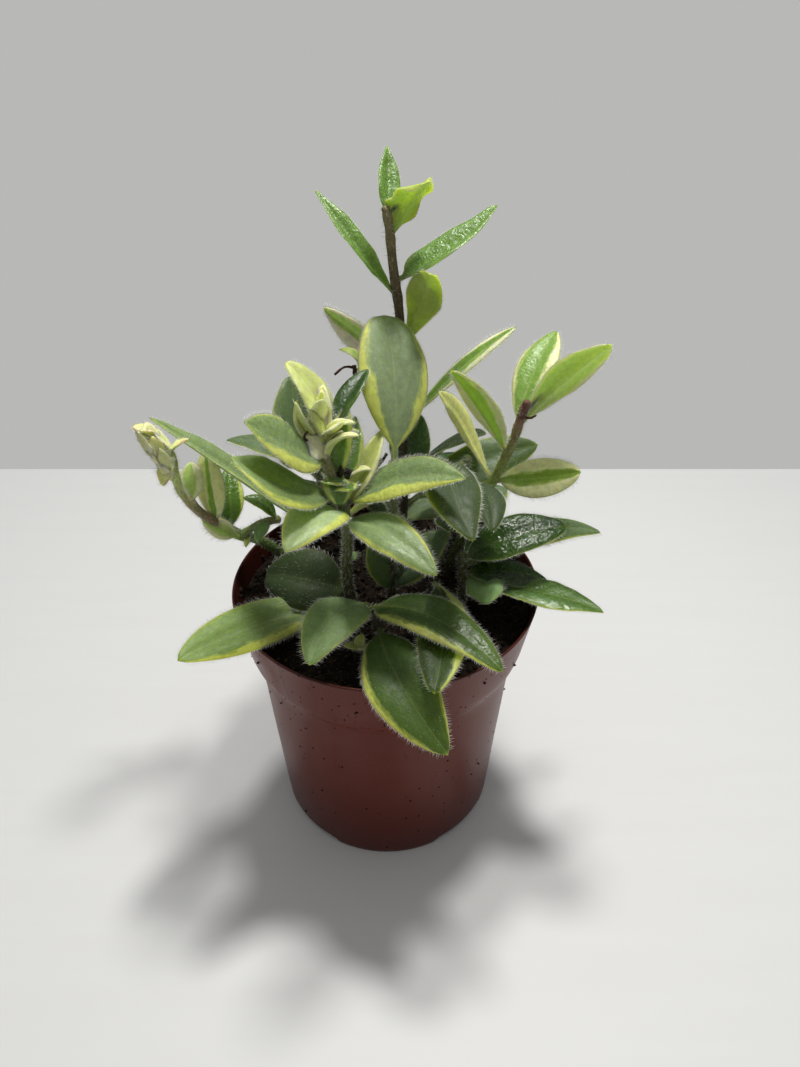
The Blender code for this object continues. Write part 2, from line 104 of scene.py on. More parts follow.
# %% Helpers for materials
class Value:
    """What comes out of a shader node: a number, a colour or a place."""

    def __init__(self, socket):
        self.socket = socket

    def add(self, kind, output, inputs, **settings):
        return add(self.socket.id_data, kind, output, inputs, **settings)

    def beside(self, output):
        """Another output of the same node."""
        return Value(self.socket.node.outputs[output])

    def reckon(self, operation, *others):
        return self.add("Math", 0, enumerate((self, *others)), operation=operation)

    def __add__(self, other):
        return self.reckon("ADD", other)

    def __sub__(self, other):
        return self.reckon("SUBTRACT", other)

    def __rsub__(self, other):
        return self.add("Math", 0, {0: other, 1: self}, operation="SUBTRACT")

    def __mul__(self, other):
        return self.reckon("MULTIPLY", other)

    def __truediv__(self, other):
        return self.reckon("DIVIDE", other)

    def __abs__(self):
        return self.reckon("ABSOLUTE")

    def step_up(self, low, high, to_low=0.0, to_high=1.0):
        """A smooth rise from one number to another while this value goes from low to high."""
        names = ("Value", "From Min", "From Max", "To Min", "To Max")
        return self.add("MapRange", "Result", zip(names, (self, low, high, to_low, to_high)),
                        interpolation_type="SMOOTHSTEP")

    def mix(self, first, second):
        """Blend two colours by this value, from 0 to 1."""
        return self.add("Mix", 2, {0: self, 6: first, 7: second}, data_type="RGBA")

    def towards(self, second, share):
        """Blend this colour with a second one by a share."""
        return self.add("Mix", 2, {0: share, 6: self, 7: second}, data_type="RGBA")

    def stretched(self, factors):
        """This place, with each axis scaled by its own factor."""
        return self.add("VectorMath", 0, {0: self, 1: factors}, operation="MULTIPLY")

    def lit(self, share):
        """This colour, darker or lighter."""
        return self.add("VectorMath", 0, {0: self, "Scale": share}, operation="SCALE")

    def parts(self):
        """The three numbers of a colour or a place."""
        first = self.add("SeparateXYZ", 0, {0: self})
        return first, first.beside(1), first.beside(2)

    def cloudy(self, scale, detail=2.0, rough=0.5, stretch=None):
        """Soft noise from 0 to 1 at this place, with the scale in features per unit."""
        place = self.stretched(stretch) if stretch else self
        return self.add("TexNoise", "Fac", {"Vector": place, "Scale": scale,
                                            "Detail": detail, "Roughness": rough})

    def cells(self, scale, **settings):
        """How far this place is from the centre of the nearest cell."""
        return self.add("TexVoronoi", "Distance", {"Vector": self, "Scale": scale}, **settings)

    def specks(self, scale, size, share):
        """Dots at this place, in a share of the cells: 1 on a speck, 0 elsewhere."""
        cells = self.cells(scale)
        chosen = cells.beside("Color").parts()[0].reckon("LESS_THAN", share)
        return cells.step_up(size * 0.6, size, 1.0, 0.0) * chosen

    def relief(self, strength, depth):
        """A bumpy surface, of this height, for a shader's Normal."""
        return self.add("Bump", "Normal", {"Strength": strength, "Distance": depth,
                                           "Height": self})


def feed(socket, value):
    """Join a socket to a value, or give it a number or colour of its own."""
    if isinstance(value, Value):
        socket.id_data.links.new(value.socket, socket)
    elif socket.type == "RGBA":
        socket.default_value = (*value, 1.0)
    else:
        socket.default_value = value


def add(tree, kind, output, inputs=(), **settings):
    """Add a shader node, fill its inputs and give one of its outputs."""
    made = tree.nodes.new("ShaderNode" + kind)
    for name, value in settings.items():
        setattr(made, name, value)
    for socket, value in dict(inputs).items():
        feed(made.inputs[socket], value)
    return Value(made.outputs[output])


def new_material(name):
    material = bpy.data.materials.new(name)
    material.use_nodes = True
    return material


def here(material):
    """The place on the object, in metres."""
    return add(material.node_tree, "TexCoord", "Object")


def mark(material, name):
    """Read a value that the mesh carries at its points."""
    return add(material.node_tree, "Attribute", "Vector", attribute_name=name)


def coat(material, sockets):
    """Feed the named sockets of a material's shader."""
    shader = material.node_tree.nodes["Principled BSDF"]
    for name, value in sockets.items():
        feed(shader.inputs[name], value)


# %% [markdown]
# ## Floor and light
# The plant stands on a pale board. Two soft lamps hang over it: a small one nearly above the
# plant, which throws the lobes of shadow that the upper leaves make round the pot, and a
# stronger one higher up and behind, which lights the leaves from the back and keeps the
# front of the pot in shade. A weak even light from all round fills the shadows.

# %% Lay the floor and hang the lamps
LAMPS = [                 # place in metres, width in metres, power in watts
    ((0.084, 0.042, 0.60), 0.07, 1.40),
    ((0.0, 0.43, 1.50), 0.20, 8.6),
]
LAMP_AIM = Vector((0, 0, 0.08))
WARM_WHITE = (1.0, 0.985, 0.96)
LOW_LIGHT = 0.04          # even light from the horizon
HIGH_LIGHT = 0.44         # and from straight above
BACKDROP = (0.48, 0.48, 0.47)
BOARD = (0.80, 0.81, 0.80)
BOARD_GRAIN = (0.76, 0.765, 0.76)
FLOOR_BACK = 0.24
FLOOR_REACH = 1.2

floor_mesh = bpy.data.meshes.new("floor")
floor_mesh.from_pydata([(-FLOOR_REACH, -FLOOR_REACH, 0), (FLOOR_REACH, -FLOOR_REACH, 0),
                        (FLOOR_REACH, FLOOR_BACK, 0), (-FLOOR_REACH, FLOOR_BACK, 0)],
                       [], [(0, 1, 2, 3)])
floor = put_in_scene("floor", floor_mesh)
floor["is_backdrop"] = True
floor_paint = new_material("floor_paint")
brushed = here(floor_paint).cloudy(90, 4, 0.6, (0.12, 1, 1))
coat(floor_paint, {"Base Color": brushed.mix(BOARD, BOARD_GRAIN), "Roughness": 0.55})
floor_mesh.materials.append(floor_paint)

for place, width, power in LAMPS:
    lamp_data = bpy.data.lights.new("lamp", "AREA")
    lamp_data.shape = "DISK"
    lamp_data.size = width
    lamp_data.energy = power
    lamp_data.color = WARM_WHITE
    lamp = put_in_scene("lamp", lamp_data, place)
    lamp.rotation_euler = (LAMP_AIM - Vector(place)).to_track_quat("-Z", "Y").to_euler()

around = bpy.data.worlds.new("around")
around.use_nodes = True
sky = around.node_tree
backdrop = sky.nodes["Background"]
seen = add(sky, "LightPath", "Is Camera Ray")
upwards = add(sky, "TexCoord", "Generated").parts()[2]
dome = add(sky, "MapRange", "Result",
           {"Value": upwards, "To Min": LOW_LIGHT, "To Max": HIGH_LIGHT})
feed(backdrop.inputs["Color"], seen.mix((1, 1, 1), BACKDROP))
feed(backdrop.inputs["Strength"],
     add(sky, "MapRange", "Result", {"Value": seen, "To Min": dome}))
scene.world = around
print(len(LAMPS), "lamps")

# %% [markdown]
# ## Growing a mesh
# Every piece here is drawn point by point. A heap collects points, faces and the marks that
# the materials read: what colour a leaf has in the middle and at its border, how far a point
# is from the midrib, how glossy it is. One heap becomes one object.

# %% The heap that becomes a piece
MARKS = ("ground", "border", "plan", "edge", "look")


class Heap:
    """Points in millimetres, faces, the skin of each face and the marks of each point."""

    def __init__(self):
        self.points, self.faces, self.skins = [], [], []
        self.marks = {name: [] for name in MARKS}

    def point(self, place, **marks):
        self.points.append(place)
        for name, values in self.marks.items():
            values.extend(marks.get(name, (0.0, 0.0, 0.0)))
        return len(self.points) - 1

    def face(self, corners, skin=0):
        self.faces.append(corners)
        self.skins.append(skin)

    def band(self, lower, upper, skin=0):
        """Join two rings of points by a band of faces."""
        for k in range(len(lower)):
            after = (k + 1) % len(lower)
            self.face((lower[k], lower[after], upper[after], upper[k]), skin)

    def tube(self, rings, skin=0):
        """Join rings of points by bands, and close both ends."""
        self.face(rings[0][::-1], skin)
        for lower, upper in zip(rings, rings[1:]):
            self.band(lower, upper, skin)
        self.face(rings[-1], skin)

    def piece(self, name, materials, with_marks=True):
        mesh = bpy.data.meshes.new(name)
        mesh.from_pydata([Vector(p) * MM for p in self.points], [], self.faces)
        for material in materials:
            mesh.materials.append(material)
        mesh.polygons.foreach_set("material_index", self.skins)
        for mark_name, values in self.marks.items():
            if with_marks:
                layer = mesh.attributes.new(mark_name, "FLOAT_VECTOR", "POINT")
                layer.data.foreach_set("vector", values)
        mesh.shade_smooth()
        return put_in_scene(name, mesh)


print("marks:", MARKS)

# %% [markdown]
# ## The pot
# A nursery pot is blown or pressed from a millimetre of red-brown plastic: a tapered body,
# a soft shoulder, a wider collar and a raised floor with drain holes, on a foot ring with
# four shallow arches. It is turned like a vase, from a profile with rounded edges, and the
# arches and holes are cut by a Boolean.

# %% The shape of the pot
POT_SIDES = 192
POT_PROFILE = [(0, 3), (36.2, 3), (36.5, 2.6), (36.6, 0.5), (37, 0.1), (38.5, 0), (39.8, 0.05),
               (40.3, 0.5), (40.55, 2), (41.6, 16), (42.5, 30), (43.5, 44), (44.4, 58),
               (45.1, 68), (45.4, 71.5), (45.8, 73.6), (46.5, 75.2), (47.4, 76.5), (48.2, 77.8),
               (48.8, 79.8), (49.3, 82), (49.9, 85.5), (51.1, 92), (51.9, 96.5), (52.25, 98.2),
               (52.35, 98.7), (52.2, 98.95), (51.9, 99), (51.6, 98.9), (51.45, 98.6),
               (51.3, 98), (50.9, 95.8), (49.6, 88), (48.2, 81.5), (47.4, 79), (46.5, 77.5),
               (45.4, 76), (44.7, 73.5), (43.9, 62), (42.9, 46), (41.3, 22), (40.2, 5.2),
               (39.6, 4.3), (38.5, 4.2), (0, 4.2)]
COLLAR_BOTTOM, COLLAR_TOP = 78, 98.5
SEAM_ANGLE = radians(232)
SEAM_HEIGHT = 0.14
SEAM_HALF_WIDTH = 0.45
OUT_OF_ROUND = 0.22


def turned(heap, profile, sides, shape):
    """Turn a profile that starts and ends on the axis; shape moves each point."""
    rows = []
    for radius, height in profile:
        row = []
        for k in range(sides if radius else 1):
            angle = 2 * pi * k / sides
            place = Vector((radius * cos(angle), radius * sin(angle), height))
            row.append(heap.point(shape(place, radius, angle)))
        rows.append(row)
    for lower, upper in zip(rows, rows[1:]):
        if len(lower) == len(upper):
            heap.band(lower, upper)
            continue
        centre, ring = (lower[0], upper[::-1]) if len(lower) == 1 else (upper[0], lower)
        for k in range(sides):
            heap.face((ring[k], ring[(k + 1) % sides], centre))


def pot_shape(place, radius, angle):
    """Thin plastic is never quite round, and the mould leaves a fine seam on the collar."""
    out = Vector((cos(angle), sin(angle), 0))
    soft = noise.noise(Vector((cos(angle) * 1.3, sin(angle) * 1.3, place.z / 60))) * OUT_OF_ROUND
    seam = SEAM_HEIGHT * exp(-((angle - SEAM_ANGLE) * radius / SEAM_HALF_WIDTH) ** 2)
    if radius < 36 or place.z < COLLAR_BOTTOM or place.z > COLLAR_TOP:
        seam = 0
    return place + out * (soft * min(place.z / 20, 1) + seam)


print("pot:", max(height for _, height in POT_PROFILE), "mm high")

# %% The cutters for its arches and drain holes
ARCHES = 4
ARCH_HEIGHT = 2.8
ARCH_HALF_ANGLE = 20
ARCH_REACH = (34, 44)     # the radii that its block spans
ARCH_STEPS = 6            # on each side of its middle
DRAINS = 6
DRAIN_DISTANCE = 27
DRAIN_RADIUS = 3.5
DRAIN_REACH = (0.5, 6)    # the heights that its block spans
DRAIN_SIDES = 24


def arch_outline(radius, middle):
    """The outline of one arch on a cylinder: flat below, rounded at its upper corners."""
    half = radians(ARCH_HALF_ANGLE)
    turns = [half * (j / ARCH_STEPS - 1) for j in range(2 * ARCH_STEPS, -1, -1)]
    outline = [(-half, -1), (half, -1)]
    outline += [(t, ARCH_HEIGHT * min(1, 4 * (1 - abs(t) / half)) ** 0.5) for t in turns]
    return [(radius * cos(middle + t), radius * sin(middle + t), z) for t, z in outline]


def drain_outline(angle, height):
    x, y = DRAIN_DISTANCE * cos(angle), DRAIN_DISTANCE * sin(angle)
    turns = [2 * pi * j / DRAIN_SIDES for j in range(DRAIN_SIDES)]
    return [(x + DRAIN_RADIUS * cos(t), y + DRAIN_RADIUS * sin(t), height) for t in turns]


def pot_cutter():
    """Closed blocks for the arches in the foot ring and the holes in the floor."""
    heap = Heap()
    blocks = []
    for k in range(ARCHES):
        middle = radians(360 / ARCHES * (k + 0.5))
        blocks.append([arch_outline(radius, middle) for radius in ARCH_REACH])
    for k in range(DRAINS):
        blocks.append([drain_outline(2 * pi * k / DRAINS, height) for height in DRAIN_REACH])
    for block in blocks:
        heap.tube([[heap.point(place) for place in outline] for outline in block])
    return heap.piece("cutter", [], with_marks=False)


def cut(piece, tool):
    """Take one object out of another, and remove it."""
    step = piece.modifiers.new("cut", "BOOLEAN")
    step.operation, step.solver, step.object = "DIFFERENCE", "EXACT", tool
    depsgraph = bpy.context.evaluated_depsgraph_get()
    piece.data = bpy.data.meshes.new_from_object(piece.evaluated_get(depsgraph))
    piece.modifiers.remove(step)
    bpy.data.objects.remove(tool, do_unlink=True)


print("to cut:", ARCHES, "arches and", DRAINS, "drain holes")

# %% [markdown]
# The plastic is dark and slightly glossy, with a pale haze, partly marks of fingers and water
# and partly a painted sheen, and specks of peat that stuck to it. Noise in two sizes gives the
# haze, and small cells give the specks: a cell is dark only close to its centre, and most cells
# are left out. Painted shade darkens the foot and the inner wall above the peat, and the rim's
# edge and the mould's seam draw thin dark lines. Heights here are in metres.

# %% Make the plastic
WALL_SLOPE = 0.17         # the radius grows by this share of the height
SKIN_SPLIT = 0.035        # without its slope, the inner skin is nearer the axis than this
RED_PLASTIC = (0.125, 0.018, 0.009)
WORN_RED = (0.165, 0.027, 0.014)
# Painted shade: the first colour darkens the foot, the second the inner wall above the peat.
FOOT_PAINTED_SHADE = (0.060, 0.006, 0.003)
INNER_WALL_PAINTED_SHADE = (0.040, 0.010, 0.006)
RIM_EDGE = (0.040, 0.010, 0.008)
SEAM_LINE = (0.035, 0.008, 0.006)
HAZE = (0.36, 0.19, 0.15)
DIRT = (0.010, 0.005, 0.004)

pot_plastic = new_material("pot_plastic")
place = here(pot_plastic)
east, north, height = place.parts()
# The haze is partly dust and water marks and partly a painted sheen, strongest high up and on
# the collar.
haze = place.cloudy(38, 5, 0.62).step_up(0.42, 0.75)
smears_and_sheen = place.cloudy(60, 4, 0.6, (1, 1, 0.25)).step_up(0.5, 0.8)
dust_and_sheen = (haze + smears_and_sheen) * height.step_up(0.045, 0.08, 0.25, 1.0)
colour = (dust_and_sheen * 0.20).mix(place.cloudy(14).mix(RED_PLASTIC, WORN_RED), HAZE)
# Painted shade: the pot gets darker towards its foot.
colour = height.step_up(0.004, 0.060, 0.70, 0.0).mix(colour, FOOT_PAINTED_SHADE)

from_axis = place.stretched((1, 1, 0))
radius = from_axis.add("VectorMath", "Value", {0: from_axis}, operation="LENGTH")
lean = radius - height * WALL_SLOPE
inside = lean.step_up(SKIN_SPLIT - 0.0001, SKIN_SPLIT + 0.0001, 0.80, 0.0)
# Painted shade on the inner wall above the peat.
colour = (inside * height.step_up(0.084, 0.086)).mix(colour, INNER_WALL_PAINTED_SHADE)
colour = height.step_up(0.0977, 0.0986, 0.0, 0.65).mix(colour, RIM_EDGE)
from_seam = abs(north.reckon("ARCTAN2", east) - (SEAM_ANGLE - 2 * pi))
seam = from_seam.step_up(0.004, 0.009, 0.7, 0.0) * height.step_up(0.072, 0.078)
colour = seam.mix(colour, SEAM_LINE)

patches = place.cloudy(26, 2).step_up(0.42, 0.62, 0.03, 0.34)
patches = patches * height.step_up(0.0, 0.085, 0.35, 1.0)
dirt = place.specks(240, 0.15, patches).reckon("MAXIMUM", place.specks(430, 0.22, patches))
coat(pot_plastic, {"Base Color": dirt.mix(colour, DIRT),
                   "Roughness": dust_and_sheen.step_up(0.0, 1.4, 0.34, 0.55),
                   "Specular IOR Level": dirt.step_up(0.0, 1.0, 0.22, 0.0),
                   "Normal": (place.cloudy(900, 3) + dirt).relief(0.25, 0.0002)})
print("plastic:", len(pot_plastic.node_tree.nodes), "nodes")

# %% Make the pot
heap = Heap()
turned(heap, POT_PROFILE, POT_SIDES, pot_shape)
pot = heap.piece("pot_shell", [pot_plastic], with_marks=False)
cut(pot, pot_cutter())
pot.data.set_sharp_from_angle(angle=radians(50))
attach(pot, "root")
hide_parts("pot")
print("pot:", len(pot.data.polygons), "faces")

# %% [markdown]
# ## The peat
# The mix is dark and crumbly, with pale fibres and bits of bark. The top is a fine grid that
# noise pushes up and down. Thousands of crumbs and hundreds of fibres lie on it, half sunk,
# so that the surface has real depth between the stems.

# %% The shape of the peat
SOIL_TOP = 91.0
SOIL_EDGE = 49.7
SOIL_RINGS = 64           # in its top
SOIL_SIDES = 180
SOIL_SIDE = [(0, 4.5), (38.6, 4.5), (39.4, 5.4), (41.0, 24), (42.4, 44), (43.6, 62),
             (44.2, 73.8), (44.9, 76.2), (45.9, 77.7), (46.9, 79.4), (47.9, 82.5), (48.7, 86),
             (49.4, 90)]


def soil_height(x, y):
    """The same gentle waves as the CAD's soil."""
    waves = sin(0.21 * x + 0.4) * cos(0.17 * y) + 0.6 * sin(0.35 * y - 0.15 * x + 1.0)
    return SOIL_TOP + 0.8 * waves


def rough_soil(x, y):
    """The waves with lumps on them."""
    lumps = noise.fractal(Vector((x / 5, y / 5, 3.1)), 0.7, 2.1, 4) * 1.1
    small = noise.noise(Vector((x / 0.9, y / 0.9, 7.7))) * 0.35
    calm = min(1.0, (SOIL_EDGE - hypot(x, y)) / 2)
    return soil_height(x, y) * calm + SOIL_TOP * (1 - calm) + (lumps + small) * calm


def soil_shape(place, radius, angle):
    if place.z > SOIL_TOP - 0.5 and radius < SOIL_EDGE - 0.05:
        place.z = rough_soil(place.x, place.y)
    return place


def lump(heap, middle, size, dice, skin=0, squash=0.7):
    """A crumb: an eight-faced body with uneven corners."""
    corners = ((1, 0, 0), (0, 1, 0), (-1, 0, 0), (0, -1, 0), (0, 0, 1), (0, 0, -1))
    turn = dice.uniform(0, 2 * pi)
    made = []
    for corner in corners:
        c = Vector(corner) * size * dice.uniform(0.7, 1.25)
        made.append(heap.point(middle + Vector((c.x * cos(turn) - c.y * sin(turn),
                                                c.x * sin(turn) + c.y * cos(turn),
                                                c.z * squash)),
                               look=(dice.random(), 0, 0)))
    for k in range(4):
        heap.face((made[k], made[(k + 1) % 4], made[4]), skin)
        heap.face((made[(k + 1) % 4], made[k], made[5]), skin)


def fibre(heap, start, heading, length, width, dice, skin, rise):
    """A thin bent three-sided thread."""
    rings = []
    place = Vector(start)
    turn = heading
    steps = 5
    for i in range(steps + 1):
        ahead = Vector((cos(turn), sin(turn), rise * (1 - 2 * i / steps)))
        side = Vector((-sin(turn), cos(turn), 0))
        thick = width * (1 - 0.6 * abs(2 * i / steps - 1))
        tone = dice.random()
        rings.append([heap.point(place + side * thick * cos(a) + Vector((0, 0, thick * sin(a))),
                                 look=(tone, 0, 0))
                      for a in (pi / 2, pi * 7 / 6, pi * 11 / 6)])
        place = place + ahead * (length / steps)
        turn += dice.uniform(-0.45, 0.45)
    heap.tube(rings, skin)


# %% [markdown]
# Peat is matt and nearly black while it is moist. The ground, the crumbs and the fibres have
# a material each. A crumb or fibre carries a random number in its mark, which picks its tone
# between dark peat and pale straw, so no two beside each other look alike.

# %% Make the peat's materials
MOIST_PEAT, DRY_PEAT = (0.010, 0.007, 0.005), (0.036, 0.025, 0.017)
DARK_CRUMB, PALE_CRUMB = (0.014, 0.010, 0.007), (0.15, 0.095, 0.055)
DARK_STRAW, PALE_STRAW = (0.045, 0.026, 0.014), (0.30, 0.20, 0.11)
CRUMB_STAIN, STRAW_STAIN = (0.008, 0.006, 0.004), (0.03, 0.018, 0.010)
BARK_FLECK = (0.16, 0.10, 0.055)

peat = new_material("peat")
place = here(peat)
tone = place.cloudy(700, 6, 0.7)
dark = tone.step_up(0.35, 0.7).mix(MOIST_PEAT, DRY_PEAT)
coat(peat, {"Base Color": (place.specks(1300, 0.34, 0.10) * 0.6).mix(dark, BARK_FLECK),
            "Roughness": 0.95, "Specular IOR Level": 0.15, "Normal": tone.relief(0.9, 0.0006)})

crumb = new_material("peat_crumbs")
place = here(crumb)
tone = mark(crumb, "look").parts()[0].step_up(0.55, 0.98).mix(DARK_CRUMB, PALE_CRUMB)
coat(crumb, {"Base Color": place.cloudy(1500, 3).mix(tone, CRUMB_STAIN),
             "Roughness": 0.92, "Specular IOR Level": 0.2,
             "Normal": place.cloudy(1800, 3).relief(0.7, 0.0004)})

straw = new_material("peat_fibres")
tone = mark(straw, "look").parts()[0].mix(DARK_STRAW, PALE_STRAW)
coat(straw, {"Base Color": here(straw).cloudy(900, 3).mix(tone, STRAW_STAIN),
             "Roughness": 0.85})
print("peat:", len(peat.node_tree.nodes), "nodes")

# %% Make the peat
CRUMBS = 5200
FIBRES = 420
dice = Random(11)
heap = Heap()
top_rings = [(SOIL_EDGE * k / SOIL_RINGS, SOIL_TOP) for k in range(SOIL_RINGS, -1, -1)]
turned(heap, SOIL_SIDE + top_rings, SOIL_SIDES, soil_shape)
for _ in range(CRUMBS):
    radius = SOIL_EDGE * sqrt(dice.random()) - 0.9
    angle = dice.uniform(0, 2 * pi)
    x, y = radius * cos(angle), radius * sin(angle)
    size = 0.25 + 1.25 * dice.random() ** 4
    lump(heap, Vector((x, y, rough_soil(x, y) + size * 0.25)), size, dice, 1)
for _ in range(FIBRES):
    radius = (SOIL_EDGE - 3) * sqrt(dice.random())
    angle = dice.uniform(0, 2 * pi)
    x, y = radius * cos(angle), radius * sin(angle)
    fibre(heap, (x, y, rough_soil(x, y) + 0.25), dice.uniform(0, 2 * pi),
          dice.uniform(1.5, 6), dice.uniform(0.06, 0.2), dice, 2, 0.25)
soil = heap.piece("peat_mix", [peat, crumb, straw])
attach(soil, "root")
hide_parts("soil")
print("peat:", len(soil.data.polygons), "faces")

# %% [markdown]
# Potting leaves crumbs stuck to the plastic: many on the inner wall above the peat, a sprinkle
# on the collar and the wall, and a few along the rim. Each is a lump pressed a little into
# the surface, so that it casts its own small shadow.

# %% Stick stray crumbs to the pot
STRAY_CRUMBS = 560
STRAY_INSIDE = 230        # of them, on the inner wall


def wall_radius(height, inner):
    """The radius of the pot's skin at a height."""
    top = POT_PROFILE.index((51.9, 99))
    side = POT_PROFILE[top:] if inner else POT_PROFILE[:top + 1]
    for (r0, z0), (r1, z1) in zip(side, side[1:]):
        if z0 != z1 and min(z0, z1) <= height <= max(z0, z1):
            return r0 + (r1 - r0) * (height - z0) / (z1 - z0)
    return side[0][0]


dice = Random(31)
heap = Heap()
for number in range(STRAY_CRUMBS):
    angle = dice.uniform(0, 2 * pi)
    inner = number < STRAY_INSIDE
    if inner:
        height = SOIL_TOP - 0.5 + 7.5 * dice.random() ** 1.5
        size = 0.25 + 1.1 * dice.random() ** 2
    else:
        height = dice.uniform(3, 97) if dice.random() < 0.55 else dice.uniform(74, 98)
        size = 0.18 + 0.55 * dice.random() ** 4
    radius = wall_radius(height, inner) + (-0.2 if inner else 0.1) * size
    lump(heap, Vector((radius * cos(angle), radius * sin(angle), height)), size, dice, 0, 0.9)
stray = heap.piece("stray_crumbs", [crumb])
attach(stray, "root")
print("stray crumbs:", len(stray.data.polygons), "faces")

# %% [markdown]
# ## Leaf finishes
# This plant is a variegated form: each leaf is green in the middle and yellow at its border,
# and no two are alike. A finish says what one leaf looks like: its ground and border
# colours, how wide the border is on the left and on the right (at the foot, the middle and
# the tip, as a share of half the leaf), how glossy, speckled and streaked it is, how high
# its margin waves as a share of its width, and how much hair it has.

# %% The finishes
Finish = namedtuple("Finish", "ground border left right shine speckle streak wave hair",
                    defaults=(0.010, 1.0))
NONE = (0.0, 0.0, 0.0)
THIN = (0.03, 0.04, 0.04)

GREY_GREEN = (0.205, 0.285, 0.125)
MIST_GREEN = (0.215, 0.280, 0.145)
DEEP_GREEN = (0.060, 0.115, 0.018)
DARK_GREEN = (0.024, 0.064, 0.008)
SHADE_GREEN = (0.034, 0.058, 0.016)
BLUE_GREEN = (0.110, 0.165, 0.080)
FRESH_GREEN = (0.215, 0.360, 0.070)
LIGHT_GREEN = (0.390, 0.500, 0.100)
OLIVE = (0.280, 0.350, 0.100)
LIME = (0.540, 0.640, 0.170)
YELLOW = (0.600, 0.680, 0.150)
CREAM = (0.800, 0.810, 0.420)
PALE_CREAM = (0.800, 0.810, 0.540)
ROSE_CREAM = (0.880, 0.830, 0.640)
ROSE_BROWN = (0.620, 0.400, 0.240)

